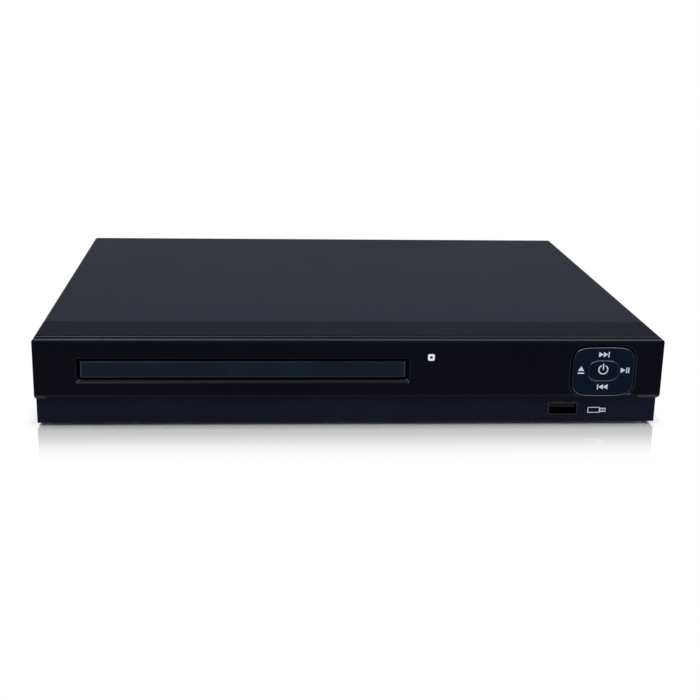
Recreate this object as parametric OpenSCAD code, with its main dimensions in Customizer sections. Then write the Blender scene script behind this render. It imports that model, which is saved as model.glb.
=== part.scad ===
// Slim disc player with a motor-driven tray, a four-way rocker pad and a front memory socket.
// Millimetres, +Z up. The origin is on the floor, at the middle of the player's outline.
// The front panel faces -Y, and +X is to the right for someone looking at the front.

/* [Case] */
// Width of the case
body_w = 270; // [262:1:430]
// Depth from the front panel's face to the rear edge of the cover
body_d = 216; // [212:1:300]
// Height of the case above its feet
body_h = 39; // [38.5:0.5:60]
// Height of the foam feet below the case
foot_out = 1.5; // [1:0.5:6]
// Diameter of a foot
foot_d = 16; // [10:1:24]
// Distance of each foot's centre from the case's sides
foot_side = 25; // [12:1:40]
// Distance of the front feet's centres behind the front panel's face
foot_front = 30; // [24:1:50]
// Distance of the rear feet's centres in front of the cover's rear edge
foot_rear = 20; // [12:1:40]
// Sheet thickness of the top cover
cover_t = 0.8; // [0.6:0.1:1.2]
// Outside bend radius of the top cover
cover_r = 1.6; // [1.3:0.1:3]
// Depth of the cover's rear lip below its top
lip_h = 6; // [5:0.5:6]
// Sheet thickness of the base pan
pan_t = 0.8; // [0.6:0.1:1.2]
// Height of the base pan's side flanges
flange_h = 13; // [8:1:20]
// Sheet thickness of the rear panel
rear_t = 0.8; // [0.6:0.1:1.2]
// Gap between sheets that slide together
sheet_gap = 0.1; // [0.05:0.05:0.3]
// Length of a ventilation slot in the base
vent_l = 24; // [12:1:40]
// Width of a ventilation slot
vent_w = 2.2; // [1.5:0.1:3]
// Ventilation slots in each row
vent_count = 9; // [4:1:11]

/* [Front panel] */
// How far the glossy panel stands in front of the lower strip
fascia_d = 5; // [4.5:0.1:8]
// Height of the glossy panel
fascia_h = 26.6; // [25.4:0.1:29]
// Drop of the glossy panel's top edge below the cover
fascia_drop = 0.2; // [0:0.1:0.6]
// Front wall of the glossy panel
fascia_wall = 2; // [1.6:0.1:2.4]
// Rim wall of the glossy panel
fascia_rim = 1.6; // [1.2:0.1:2.2]
// Radius of the glossy panel's outline corners
fascia_r = 1.2; // [0.6:0.1:2]
// Height of the bevel along the panel's lower edge
fascia_bevel = 1.7; // [0.8:0.1:2.4]
// Width of the shadow groove behind the panel's top edge
groove_w = 0.8; // [0.4:0.1:1]
// Depth of the shadow groove
groove_depth = 1.1; // [0.6:0.1:1.3]
// Wall of the bezel moulding
bezel_wall = 2; // [1.6:0.1:2.6]
// Distance of the cover's front edge behind the panel's face
seam_back = 28.3; // [24:0.1:34]
// Seam gap between bezel and cover
seam_gap = 0.4; // [0.2:0.1:0.8]
// How far the bezel's tongue runs under the cover
tongue_l = 6; // [4:1:10]

/* [Tray door] */
// Distance of the tray's centre left of the middle, less an eighth of the case's width
tray_off = 12.45; // [12.25:0.05:16]
// Width of the door on the tray
door_w = 139; // [133:0.5:140]
// Height of the door on the tray
door_h = 7.9; // [7.65:0.05:8.2]
// Thickness of the door
door_t = 3; // [2:0.1:4]
// Drop of the door's top edge below the cover's top
door_down = 9.75; // [9.3:0.05:10.4]
// Setback of the door's face from the panel's face
door_set = 0.8; // [0.3:0.1:1.5]
// Gap between the door and its opening
door_gap = 0.5; // [0.3:0.05:0.7]
// Width of the bevel above the opening
slot_bevel_top = 0.6; // [0.3:0.1:1.2]
// Width of the bevel below the opening
slot_bevel_low = 1.3; // [0.6:0.1:1.6]
// Width of the bevel at each end of the opening
slot_bevel_end = 1; // [0.5:0.1:1.6]

/* [Rocker pad] */
// Distance of the pad's centre from the case's right side
pad_side = 25.9; // [23:0.1:30]
// Drop of the pad's centre below the cover's top
pad_down = 14.6; // [14:0.1:15]
// Width of the pad
pad_w = 26.8; // [26:0.1:28]
// Height of the pad
pad_h = 21.8; // [21:0.1:22.4]
// Gap round the pad
pad_gap = 0.4; // [0.3:0.05:0.6]
// Thickness of the pad's plate
pad_t = 1.8; // [1.4:0.1:2.1]
// Width of the bevel round the pad's hole
pad_bevel = 0.7; // [0.4:0.1:1]
// Exponent of the pad's bowed outline
pad_power = 4.5; // [3:0.1:8]
// Distance of the pad's two rocking axes behind the panel's face
pad_pivot = 4; // [3.8:0.1:4.2]
// Radius of the pad's pins
pad_pin_r = 0.75; // [0.6:0.05:0.8]
// Radial clearance of a pin in its hole
pin_gap = 0.05; // [0.03:0.01:0.08]
// Width of the power button
power_w = 13.2; // [13:0.1:15.6]
// Height of the power button
power_h = 9.2; // [9:0.1:10.6]
// Height of the power button's centre above the pad's centre
power_up = 0.5; // [0:0.1:0.9]
// Gap round the power button
power_gap = 0.3; // [0.2:0.05:0.4]
// How far the power button stands in front of the pad
power_out = 0.3; // [0:0.1:0.8]

/* [Sockets and sensor in front] */
// Distance of the memory socket's centre from the case's right side
usb_side = 41.1; // [37:0.1:45]
// Height of the memory socket's centre above the case's bottom
usb_up = 5.85; // [5.7:0.05:6.2]
// Width of the memory socket's shell
usb_w = 13.1; // [13:0.1:13.3]
// Height of the memory socket's shell
usb_h = 5.7; // [5.6:0.1:5.8]
// Depth of the memory socket's shell
usb_d = 14; // [12:0.5:18]
// Sheet of the memory socket's shell
usb_sheet = 0.35; // [0.3:0.05:0.4]
// Distance of the sensor window's centre from the door
ir_side = 10.6; // [10.2:0.1:12.7]
// Drop of the sensor window's centre below the cover's top
ir_down = 8.1; // [7:0.1:9.5]
// Width of the sensor window
ir_w = 3; // [2.8:0.1:4]
// Radial size of the window's rounded corners
ir_r = 0.7; // [0.5:0.1:1.2]

/* [Tray and disc] */
// Diameter of the disc that the tray carries
disc_d = 120; // [119:0.5:120]
// Diameter of the small disc that the inner recess carries
small_disc_d = 80; // [78:0.5:80]
// Radial gap round a disc in its recess
disc_gap = 0.75; // [0.5:0.05:0.9]
// Depth of the main disc recess
recess_h = 1.6; // [1.2:0.1:1.6]
// Further depth of the small disc recess
small_recess_h = 1.2; // [0.8:0.1:1.2]
// Width of the tray
tray_w = 129; // [128:0.5:129.4]
// Length of the tray behind its door
tray_l = 158; // [156:1:160]
// Height of the tray
tray_h = 6.4; // [6.3:0.1:6.6]
// Width of the tray's rim in front of the disc
tray_front_rim = 4; // [3:0.5:5]
// How far the tray opens
tray_travel = 132; // [120:1:132]
// Running gap between the tray and its rails
rail_gap = 0.1; // [0.05:0.05:0.2]
// Width of the cut-out that the pickup works through
cutout_w = 44; // [42:1:46]
// Radius of the cut-out's round end
cutout_r = 19; // [17:0.5:21]

/* [Loader] */
// Wall of the loader's frame
frame_wall = 2.5; // [2:0.1:2.5]
// Side gap between the tray and the frame
frame_gap = 0.4; // [0.3:0.1:0.6]
// Thickness of the gear deck
deck_t = 1.5; // [1.2:0.1:1.6]
// Depth of the gear deck's top below the tray
deck_down = 5.1; // [5:0.1:5.2]
// Teeth of the wheel that the tray gear is driven by
wheel_teeth = 30; // [28:1:30]
// Teeth of the pinion that drives the tray's rack
rack_pinion_teeth = 14; // [13:1:14]
// Teeth of the pulley gear's pinion
pulley_teeth = 12; // [11:1:12]
// Gear module of the tray drive
tray_module = 1; // [0.98:0.01:1]
// Radius of the belt's seat on the big pulley
pulley_r = 11; // [10:0.1:11]
// Radius of the belt's seat on the motor pulley
motor_pulley_r = 2.75; // [2.5:0.05:3.5]
// Distance between the two belt pulleys
belt_span = 34; // [30:0.5:36]
// Section of the square belt
belt_t = 1.2; // [1:0.1:1.3]
// Diameter of the loading motor
load_motor_d = 24.4; // [20:0.1:24.6]
// Height of the loading motor
load_motor_h = 12.3; // [9:0.1:12.6]
// Travel of the cam slider
cam_travel = 20; // [16:1:22]
// Tilt of the traverse when it is lowered, in degrees
lower_deg = 2.75; // [2.6:0.05:2.8]

/* [Traverse] */
// Width of the traverse chassis
traverse_w = 80; // [78:1:80.5]
// Depth of the traverse chassis's top below the tray
traverse_down = 4.1; // [4.1:0.05:4.3]
// Height of the traverse chassis
traverse_h = 7.3; // [7.2:0.1:8]
// Radius of a guide rod
rod_r = 1.5; // [1.2:0.1:1.6]
// Distance of each guide rod from the disc's axis
rod_x = 26; // [25.5:0.1:26.5]
// Travel of the pickup
pickup_travel = 36; // [30:1:36]
// Distance of the lens from the disc's axis when the pickup is home
lens_home = 23; // [22.5:0.1:24]
// Radius of the turntable
turntable_r = 15; // [13:0.5:15.5]
// Lift of the disc above its recess when it is held
disc_lift = 1.2; // [0.9:0.1:1.2]
// Radius of the spindle motor
spindle_motor_r = 13; // [11:0.5:13.2]
// Gear module of the feed drive
feed_module = 0.8; // [0.78:0.01:0.8]
// Teeth of the feed gear's wheel
feed_wheel_teeth = 30; // [28:1:30]
// Teeth of the feed gear's pinion
feed_rack_teeth = 12; // [11:1:12]
// Teeth of the feed motor's pinion
feed_pinion_teeth = 10; // [9:1:10]
// Diameter of the feed motor
feed_motor_d = 20; // [16:0.5:20]
// Height of the feed motor
feed_motor_h = 11; // [9:0.1:11.3]

/* [Disc clamp] */
// Running gap between the tray and the clamp bridge above it
bridge_gap = 1.2; // [1:0.1:1.4]
// Thickness of the clamp bridge
bridge_t = 2; // [1.5:0.1:2.2]
// Width of the clamp bridge
bridge_w = 40; // [38:1:44]
// Radius of the clamp's pressing face
clamp_r = 13.6; // [12:0.1:14]
// Radius of the clamp's flange
flange_r = 17; // [16:0.1:17.5]

/* [Electronics] */
// Thickness of the circuit boards
board_t = 1.6; // [1:0.1:1.8]
// Height of the standoffs under the boards
standoff_h = 3; // [2.5:0.5:5]
// Width of the main board
main_w = 99; // [97:1:99]
// Depth of the main board
main_l = 120; // [100:1:150]
// Width of the power board
power_board_w = 100; // [92:1:104]
// Gap between the loader and the power board behind it
rear_gap = 6.6; // [5.6:0.1:9.6]
// How far the round signal jacks stand out behind the cover
jack_out = 8; // [7:0.5:10]
// Radius of a signal jack's sleeve
jack_r = 4.15; // [4.1:0.05:4.2]
// Pitch of the signal jacks
jack_pitch = 13.5; // [13:0.5:14]
// Height of the picture socket's shell
hdmi_h = 5.6; // [5.5:0.1:6]
// Width of the picture socket's shell
hdmi_w = 15; // [14.8:0.1:15.4]
// Width of the wide audio and video socket
scart_w = 47.4; // [47:0.1:48]
// Height of the wide audio and video socket
scart_h = 14.6; // [14:0.1:15]
// Distance of the mains inlet's centre from the case's side
inlet_side = 23; // [19:0.5:29]
// Distance between the mains inlet's two pins
inlet_pitch = 8.6; // [8.5:0.1:8.7]
// Diameter of the screws that hold the case
screw_d = 3; // [2.5:0.1:3]

/* [Hidden] */
$fn = 48;
FINE_FN = 96;

// Levels and lines of the case
half_w = body_w / 2;
tray_x = -body_w / 8 - tray_off;
pad_x = half_w - pad_side;
usb_x = half_w - usb_side;
ir_x = tray_x + door_w / 2 + ir_side;
inlet_x = -half_w + inlet_side;
front_y = (power_out - body_d - jack_out) / 2;
rear_y = front_y + body_d;
low_z = foot_out;
top_z = foot_out + body_h;
roof_z = top_z - cover_t;
pan_z = low_z + pan_t;
inner_half_w = half_w - cover_t - sheet_gap;
panel_y = rear_y - cover_t - sheet_gap;
panel_in_y = panel_y - rear_t;
strip_y = front_y + fascia_d;
wall_y = strip_y + bezel_wall;
seam_y = front_y + seam_back;
fascia_top = top_z - fascia_drop;
fascia_low = fascia_top - fascia_h;
pan_full_y = seam_y + tongue_l + 1;
pan_front_half_w = half_w - bezel_wall - cover_t - 0.2;
screw_r = screw_d / 2;
head_r = screw_d * 0.95;
head_h = screw_d * 0.55;
hole_r = screw_r + 0.2;

// The loader's own frame: the disc's axis, at the height of the tray's underside
tray_front_y = front_y + door_set + door_t;
disc_r = disc_d / 2 + disc_gap;
disc_y = tray_front_y + tray_front_rim + disc_r;
door_z = top_z - door_down - door_h;
// How far the door reaches below the tray
door_lap = 0.75;
tray_z = door_z + door_lap;
tray_front = -tray_front_rim - disc_r;
tray_rear = tray_front + tray_l;
pan_depth = tray_z - pan_z;
frame_in = tray_w / 2 + frame_gap;
frame_out = frame_in + frame_wall;
frame_front = tray_front + 4.2;
frame_rear = tray_rear + 6.5;
frame_low = -12;
strip_in = traverse_w / 2 + 1;
bridge_z = tray_h + bridge_gap;
deck_rear = -26;
shelf_x = 52;
shelf_l = 10;
shelf_z = -4;
seat_z = tray_h - recess_h + disc_lift;
ear_out = frame_out + 7.5;
ear_r = 3.6;
ear_y = [frame_front + 5, frame_rear - 10];

// Tray drive
gear_y = -42.5;
pinion_r = tray_module * rack_pinion_teeth / 2;
wheel_r = tray_module * wheel_teeth / 2;
pulley_pinion_r = tray_module * pulley_teeth / 2;
rack_x = 55;
tray_gear_x = rack_x - pinion_r;
pulley_x = tray_gear_x - wheel_r - pulley_pinion_r;
motor_x = pulley_x - belt_span;
rack_h = 3;
wheel_t = 1.7;
stud_r = 1.5;
bore_gap = 0.06;
wheel_z = -deck_down + 0.2;
pulley_z = wheel_z + wheel_t + 0.2;
belt_gap = 0.1;
belt_z = pulley_z + 0.7;

// Cam slider and the traverse's hinge
hinge_y = 85.5;
traverse_top = -traverse_down;
traverse_low = traverse_top - traverse_h;
traverse_front = -24.5;
traverse_rear = hinge_y + 5;
hinge_z = traverse_top - 3.5;
slider_y = deck_rear - 1.9;
slider_t = 1.8;
cam_pin_r = 1.5;
cam_pin_z = traverse_top - 5.3;
cam_drop = (hinge_y - slider_y - slider_t / 2) * sin(lower_deg);
slider_top = -deck_down - deck_t - 0.2;
slider_low = slider_top - 12;
trunnion_r = 2;

// Traverse openings and the feed drive
opening_half = 29;
opening_front = 16.4;
opening_rear = hinge_y - 2;
pickup_front = opening_front + 0.6;
pickup_l = 28;
feed_pinion_r = feed_module * feed_rack_teeth / 2;
feed_wheel_r = feed_module * feed_wheel_teeth / 2;
feed_motor_r = feed_module * feed_pinion_teeth / 2;
feed_x = 36;
feed_motor_x = 28;
feed_motor_y = 3.5;
feed_span = feed_wheel_r + feed_motor_r;
feed_y = feed_motor_y + sqrt(feed_span * feed_span - (feed_x - feed_motor_x) * (feed_x - feed_motor_x));
feed_rack_x = feed_x - feed_pinion_r;
feed_wheel_z = traverse_top + 0.3;
feed_rack_z = traverse_top + 1.9;
feed_rack_t = 1.5;

// Pad, buttons and front board
pad_z = top_z - pad_down;
power_z = pad_z + power_up;
pivot_y = front_y + pad_pivot;
ring_in = [power_w / 2 + 1.75, pad_h / 2 - 3.8];
ring_bar = 1.6;
ring_out = ring_in + [ring_bar, ring_bar];
ring_half_t = 1.2;
post_x = pad_w / 2 - 1.5;
post_low = 3.8;
post_z = pad_h / 2 - 1.1;
post_r = 0.8;
front_board_y = wall_y + 7;
switch_h = 3.4;
plunger_h = 1;
plunger_r = 1.7;
press_gap = 0.6;
post_end_y = front_board_y - switch_h - plunger_h - press_gap;
ir_z = top_z - ir_down;
usb_z = low_z + usb_up;
front_board_low = usb_z + usb_h / 2 + 1.6;
front_board_top = roof_z - 3;
front_board_x = [ir_x - 4, half_w - 8];
boss_at = [[ir_x + 18, ir_z], [pad_x - 26, front_board_low + 4], [half_w - 11.5, front_board_low + 3]];

// Boards and rear sockets
board_z = pan_z + standoff_h;
board_top = board_z + board_t;
main_x = half_w - 5 - main_w;
main_rear = panel_in_y - 0.4;
// In a narrow case the part of the board beside the loader is narrower than its rear strip
main_front_x = max(main_x, tray_x + ear_out + 1.5);
main_share = (main_x + main_w - main_front_x) / main_w;
rear_room = main_rear - disc_y - frame_rear;
power_board_x = -half_w + 5;
power_board_l = rear_room - rear_gap;
// Power parts are drawn smaller where the board is shorter than they need
power_share = min(1, power_board_l / 39);
hdmi_x = main_x + hdmi_w / 2 + 1;
scart_x = hdmi_x + hdmi_w / 2 + scart_w / 2 + 3.5;
rca_x = scart_x + scart_w / 2 + jack_pitch + 3.5;
rca_low = board_top + jack_pitch / 2 + 0.4;
jack_root_r = jack_r - 0.25;
inlet_w = 21;
inlet_h = 15;
inlet_d = 17 * power_share;
inlet_z = board_top + inlet_h / 2;
foot_at = [
    for (side = [-1, 1], y = [front_y + foot_front, rear_y - foot_rear])
    [side * (half_w - foot_side), y]
];
main_holes = [
    [main_front_x + 5, main_rear - main_l + 6], [main_x + main_w - 5, main_rear - main_l + 6],
    [main_x + 5, main_rear - 22], [main_x + main_w - 5, main_rear - 34]
];
power_holes = [
    for (x = [power_board_x + 4, power_board_x + power_board_w - 4], y = [5, power_board_l - 5])
    [x, main_rear - y]
];
bezel_tab_x = half_w - 61;
lip_screws = [-half_w + 20, 0, half_w - 20];
panel_screws = [-half_w + 9, -12, half_w - 4.5];

// ---- Shared shapes ----

// A block from its low corner to its high corner
module block(lo, hi) {
    translate(lo) cube(hi - lo);
}

// A rectangle with round corners, centred
module round_rect(w, h, r) {
    square([w - 2 * r, h], center = true);
    square([w, h - 2 * r], center = true);
    for (x = [-1, 1], y = [-1, 1]) {
        translate([x * (w / 2 - r), y * (h / 2 - r)]) circle(r);
    }
}

// Extrudes a front view (x, z) along Y, from y0 to y1
module along_y(y0, y1) {
    translate([0, y1, 0]) rotate([90, 0, 0]) linear_extrude(y1 - y0) children();
}

// Extrudes a side view (y, z) along X, from x0 to x1
module along_x(x0, x1) {
    translate([x0, 0, 0]) rotate([90, 0, 90]) linear_extrude(x1 - x0) children();
}

// Extrudes a plan (x, y) along Z, from z0 to z1
module along_z(z0, z1) {
    translate([0, 0, z0]) linear_extrude(z1 - z0) children();
}

// Its children and their mirror image across the plane X = 0
module both_sides() {
    children();
    mirror([1, 0, 0]) children();
}

// A round bar along Y
module bar_y(x, z, r, y0, y1) {
    translate([x, y1, z]) rotate([90, 0, 0]) cylinder(r = r, h = y1 - y0);
}

// A round bar along X
module bar_x(y, z, r, x0, x1) {
    translate([x0, y, z]) rotate([0, 90, 0]) cylinder(r = r, h = x1 - x0);
}

// A round bar along Z
module bar_z(x, y, r, z0, z1) {
    translate([x, y, z0]) cylinder(r = r, h = z1 - z0);
}

// A bowed outline, between an ellipse and a rectangle
module bowed(w, h, power) {
    polygon([
        for (i = [0 : 71])
        let (a = i * 5, c = cos(a), s = sin(a))
        [
            sign(c) * w / 2 * pow(abs(c), 2 / power),
            sign(s) * h / 2 * pow(abs(s), 2 / power)
        ]
    ]);
}

// A hole that widens towards -Y, from the bevel's inner line at y1 to its outer line at y0
module bevelled_mouth(lo, hi, y0, y1, grow_lo, grow_hi) {
    intersection() {
        along_z(lo[1] - grow_lo[1] - 1, hi[1] + grow_hi[1] + 1)
            polygon([
                [lo[0] - grow_lo[0], y0], [hi[0] + grow_hi[0], y0],
                [hi[0], y1], [lo[0], y1]
            ]);
        along_x(lo[0] - grow_lo[0] - 1, hi[0] + grow_hi[0] + 1)
            polygon([
                [y0, lo[1] - grow_lo[1]], [y0, hi[1] + grow_hi[1]],
                [y1, hi[1]], [y1, lo[1]]
            ]);
    }
}

// A gear's outline: straight-flanked teeth with backlash, one tooth pointing along the phase
module gear_2d(teeth, m, phase = 0) {
    pitch_r = teeth * m / 2;
    half = PI * m / 4 - 0.15 * m;
    tip = [pitch_r + 0.8 * m, half - 0.8 * m * tan(20)];
    root = [pitch_r - 1.15 * m, half + 1.15 * m * tan(20)];
    polygon([
        for (i = [0 : teeth - 1], corner = [[root, -1], [tip, -1], [tip, 1], [root, 1]])
        let (r = corner[0][0], a = phase + i * 360 / teeth + corner[1] * corner[0][1] / r * 180 / PI)
        [r * cos(a), r * sin(a)]
    ]);
}

// Rack teeth that point along -X from a root line, one tooth centred at y = first
module rack_teeth_2d(pitch_x, m, first, count) {
    half = PI * m / 4 - 0.15 * m;
    tip = [0.8 * m, half - 0.8 * m * tan(20)];
    root = [1.15 * m, half + 1.15 * m * tan(20)];
    for (i = [0 : count - 1]) {
        translate([pitch_x, first + i * PI * m])
            polygon([
                [root[0] + 0.1, -root[1]], [-tip[0], -tip[1]],
                [-tip[0], tip[1]], [root[0] + 0.1, root[1]]
            ]);
    }
}

// The area inside a belt that runs round two circles on the X axis
module belt_2d(r0, r1, span) {
    a = acos((r0 - r1) / span);
    polygon([
        for (i = [0 : 24]) let (b = a + i * (360 - 2 * a) / 24) [r0 * cos(b), r0 * sin(b)],
        for (i = [0 : 12]) let (b = -a + i * 2 * a / 12) [span + r1 * cos(b), r1 * sin(b)]
    ]);
}

// A slot with round ends between two points
module slot_2d(from, to, r) {
    step = to - from;
    translate(from) circle(r);
    translate(to) circle(r);
    translate(from) rotate(atan2(step[1], step[0]))
        translate([0, -r]) square([norm(step), 2 * r]);
}

// Places loader pieces: the disc's axis at the height of the tray's underside
module at_loader() {
    translate([tray_x, disc_y, tray_z]) children();
}

// A pan-head screw that points down, its head seated at z = 0
module screw(l = 6, r = screw_r, head = head_r, h = head_h) {
    difference() {
        union() {
            cylinder(r = head, h = h);
            translate([0, 0, -l]) cylinder(r = r, h = l);
        }
        for (a = [0, 90]) {
            rotate(a) translate([-head * 0.6, -head * 0.12, h - 0.7]) cube([head * 1.2, head * 0.24, 1]);
        }
    }
}

// A screw whose head is seated on a face that looks along +Y
module screw_from_rear(x, y, z, l = 5) {
    translate([x, y, z]) rotate([-90, 0, 0]) screw(l = l);
}

// ---- Case ----

// Plan of one row of ventilation slots
module vent_row(x, y, count = vent_count, pitch = 7) {
    for (i = [0 : count - 1]) {
        translate([x + (i - (count - 1) / 2) * pitch, y])
            slot_2d([0, -vent_l / 2], [0, vent_l / 2], vent_w / 2);
    }
}

// Folded steel pan with side flanges, a rear flange and pressed standoffs
module base_pan() {
    post_top = tray_z + frame_low;
    color("silver") difference() {
        union() {
            block([-pan_front_half_w, wall_y + 0.2, low_z], [pan_front_half_w, pan_full_y + 1, pan_z]);
            block([-inner_half_w, pan_full_y, low_z], [inner_half_w, panel_in_y - sheet_gap, pan_z]);
            both_sides()
                block([inner_half_w - pan_t, pan_full_y, low_z],
                    [inner_half_w, panel_in_y - sheet_gap, low_z + flange_h]);
            block([-inner_half_w, panel_in_y - sheet_gap - pan_t, low_z],
                [inner_half_w, panel_in_y - sheet_gap, low_z + 3.4]);
            for (p = concat(main_holes, power_holes)) {
                bar_z(p[0], p[1], 3, pan_z - 0.1, board_z);
            }
            at_loader() for (side = [-1, 1], y = ear_y) {
                bar_z(side * (ear_out - ear_r), y, ear_r, pan_z - tray_z - 0.1, post_top - tray_z);
            }
            for (x = [-7, 7]) {
                bar_z(usb_x + x, wall_y + 21, 2, pan_z - 0.1, usb_z - usb_h / 2 - 1.2);
            }
        }
        for (p = concat(main_holes, power_holes)) {
            bar_z(p[0], p[1], screw_r + 0.05, low_z - 1, board_z + 1);
        }
        at_loader() for (side = [-1, 1], y = ear_y) {
            bar_z(side * (ear_out - ear_r), y, screw_r + 0.05, -pan_depth - 3, post_top - tray_z + 1);
        }
        for (side = [-1, 1]) {
            bar_z(side * bezel_tab_x, wall_y + 8, screw_r + 0.05, low_z - 1, pan_z + 1);
        }
        along_z(low_z - 1, pan_z + 1) {
            vent_row(main_x + main_w / 2, main_rear - main_l + 40);
            vent_row(power_board_x + power_board_w / 2 + 18, main_rear - power_board_l / 2);
        }
    }
}

// Rear sheet with the sockets' openings and a field of ventilation slots
module rear_panel() {
    color("silver") difference() {
        block([-inner_half_w + 0.2, panel_in_y, low_z], [inner_half_w - 0.2, panel_y, roof_z - 0.2]);
        along_y(panel_in_y - 1, panel_y + 1) {
            translate([hdmi_x, board_top + hdmi_h / 2 + 0.2]) square([hdmi_w + 0.6, hdmi_h + 0.6], center = true);
            translate([scart_x, board_top + scart_h / 2 + 0.2])
                square([scart_w + 0.6, scart_h + 0.6], center = true);
            for (i = [-0.5, 0.5], row = [0, 1]) {
                translate([rca_x + i * jack_pitch, rca_low + row * jack_pitch]) circle(jack_pitch / 2 - 0.7);
            }
            translate([inlet_x, inlet_z]) square([inlet_w + 0.5, inlet_h + 0.5], center = true);
            for (x = [-80 : 8 : 0], z = [low_z + 14, roof_z - 14]) {
                translate([x, z]) slot_2d([0, -4], [0, 4], 0.9);
            }
            for (x = panel_screws) {
                translate([x, low_z + 2.2]) circle(hole_r * 0.7);
            }
            for (x = lip_screws) {
                translate([x, roof_z - lip_h / 2]) circle(screw_r + 0.05);
            }
        }
    }
}

// Front view of the folded cover, filled
module cover_outline(w, top, r) {
    translate([-w / 2, low_z]) square([w, top - r - low_z]);
    translate([-w / 2 + r, low_z]) square([w - 2 * r, top - low_z]);
    for (side = [-1, 1]) {
        translate([side * (w / 2 - r), top - r]) circle(r);
    }
}

// Painted steel cover: top, two sides and a rear lip
module top_cover() {
    color("#30333d") difference() {
        along_y(seam_y + seam_gap, rear_y) cover_outline(body_w, top_z, cover_r);
        difference() {
            along_y(seam_y - 1, rear_y + 1) translate([0, -1])
                cover_outline(body_w - 2 * cover_t, roof_z + 1, cover_r - cover_t);
            block([-half_w, rear_y - cover_t, roof_z - lip_h], [half_w, rear_y + 2, top_z]);
        }
        for (x = lip_screws) {
            bar_y(x, roof_z - lip_h / 2, hole_r, rear_y - 3, rear_y + 1);
        }
    }
}

// Four foam feet stuck under the pan
module rubber_feet() {
    color("#141414") for (p = foot_at) {
        bar_z(p[0], p[1], foot_d / 2, 0, low_z);
    }
}

// Screws through the cover's rear lip
module cover_screws() {
    color("dimgray") for (x = lip_screws) {
        screw_from_rear(x, rear_y, roof_z - lip_h / 2);
    }
}

// Small screws through the rear panel's lower edge into the pan's flange
module rear_screws() {
    color("dimgray") for (x = panel_screws) {
        translate([x, panel_y, low_z + 2.2]) rotate([-90, 0, 0])
            screw(l = rear_t, r = screw_r * 0.7, head = head_r * 0.7, h = head_h * 0.8);
    }
}

// ---- Front ----

// The tray's mouth, which the bezel wall and the panel share
module tray_mouth_2d(gap = door_gap) {
    translate([tray_x, door_z + door_h / 2]) square([door_w + 2 * gap, door_h + 2 * gap], center = true);
}

// Bezel moulding: front wall with the lower strip, top ledge, short sides and the cover's tongue
module front_bezel() {
    bar_half = 3.1;
    color("#1a1c24") difference() {
        union() {
            difference() {
                along_y(strip_y, seam_y) cover_outline(body_w, top_z, cover_r);
                along_y(wall_y, seam_y + 1) translate([0, -1])
                    cover_outline(body_w - 2 * bezel_wall, top_z - bezel_wall + 1, cover_r);
            }
            difference() {
                along_y(seam_y - 4, seam_y + tongue_l)
                    cover_outline(body_w - 2 * cover_t - 0.4, roof_z - 0.2, cover_r - cover_t);
                along_y(wall_y, seam_y + tongue_l + 1) translate([0, -1])
                    cover_outline(body_w - 2 * bezel_wall - 2 * cover_t, roof_z - bezel_wall + 1, 0.6);
            }
            for (p = boss_at) {
                bar_y(p[0], p[1], 2.6, wall_y - 0.1, front_board_y);
            }
            for (side = [-1, 1]) {
                block([side * bezel_tab_x - 6, wall_y - 0.1, pan_z],
                    [side * bezel_tab_x + 6, wall_y + 14, pan_z + bezel_wall]);
            }
        }
        // The top ledge stays flush with the glossy panel's top
        block([-half_w - 1, strip_y - 1, fascia_top], [half_w + 1, strip_y + 0.6, top_z + 1]);
        along_y(strip_y - 1, wall_y + 1) {
            tray_mouth_2d();
            translate([pad_x, pad_z]) square([pad_w - 0.4, pad_h + 0.4], center = true);
            translate([usb_x, usb_z]) square([usb_w + 0.2, usb_h + 0.4], center = true);
            translate([ir_x, ir_z]) circle(2.8);
        }
        for (p = boss_at) {
            bar_y(p[0], p[1], screw_r * 0.7, wall_y + 1, front_board_y + 1);
        }
        for (side = [-1, 1]) {
            bar_z(side * bezel_tab_x, wall_y + 8, hole_r, pan_z - 1, pan_z + bezel_wall + 1);
        }
    }
    // Guide for the power button's stem, across the pad's opening
    color("#1a1c24") difference() {
        block([pad_x - pad_w / 2, wall_y - 0.9, power_z - bar_half],
            [pad_x + pad_w / 2, wall_y, power_z + bar_half]);
        block([pad_x - 4.15, wall_y - 2, power_z - 2.15], [pad_x + 4.15, wall_y + 1, power_z + 2.15]);
    }
    // Ears that carry the rocker ring's pins
    color("#1a1c24") translate([pad_x, 0, 0]) both_sides() difference() {
        block([ring_out[0] + 0.2, pivot_y - 1.35, pad_z - 2], [pad_w / 2 + 0.2, wall_y, pad_z + 2]);
        bar_x(pivot_y, pad_z, pad_pin_r + pin_gap, ring_out[0], pad_w / 2 + 1);
    }
}

// Side view of the glossy panel: lower bevel, rounded top edge and the groove behind it
module fascia_side_2d() {
    r = 0.8;
    difference() {
        union() {
            polygon([
                [front_y, fascia_low + fascia_bevel], [front_y + fascia_bevel * 0.8, fascia_low],
                [strip_y, fascia_low], [strip_y, fascia_top],
                [front_y + r, fascia_top], [front_y, fascia_top - r]
            ]);
            translate([front_y + r, fascia_top - r]) circle(r);
        }
        translate([strip_y - 0.3 - groove_w, fascia_top - groove_depth]) square([groove_w, groove_depth + 1]);
    }
}

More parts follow.
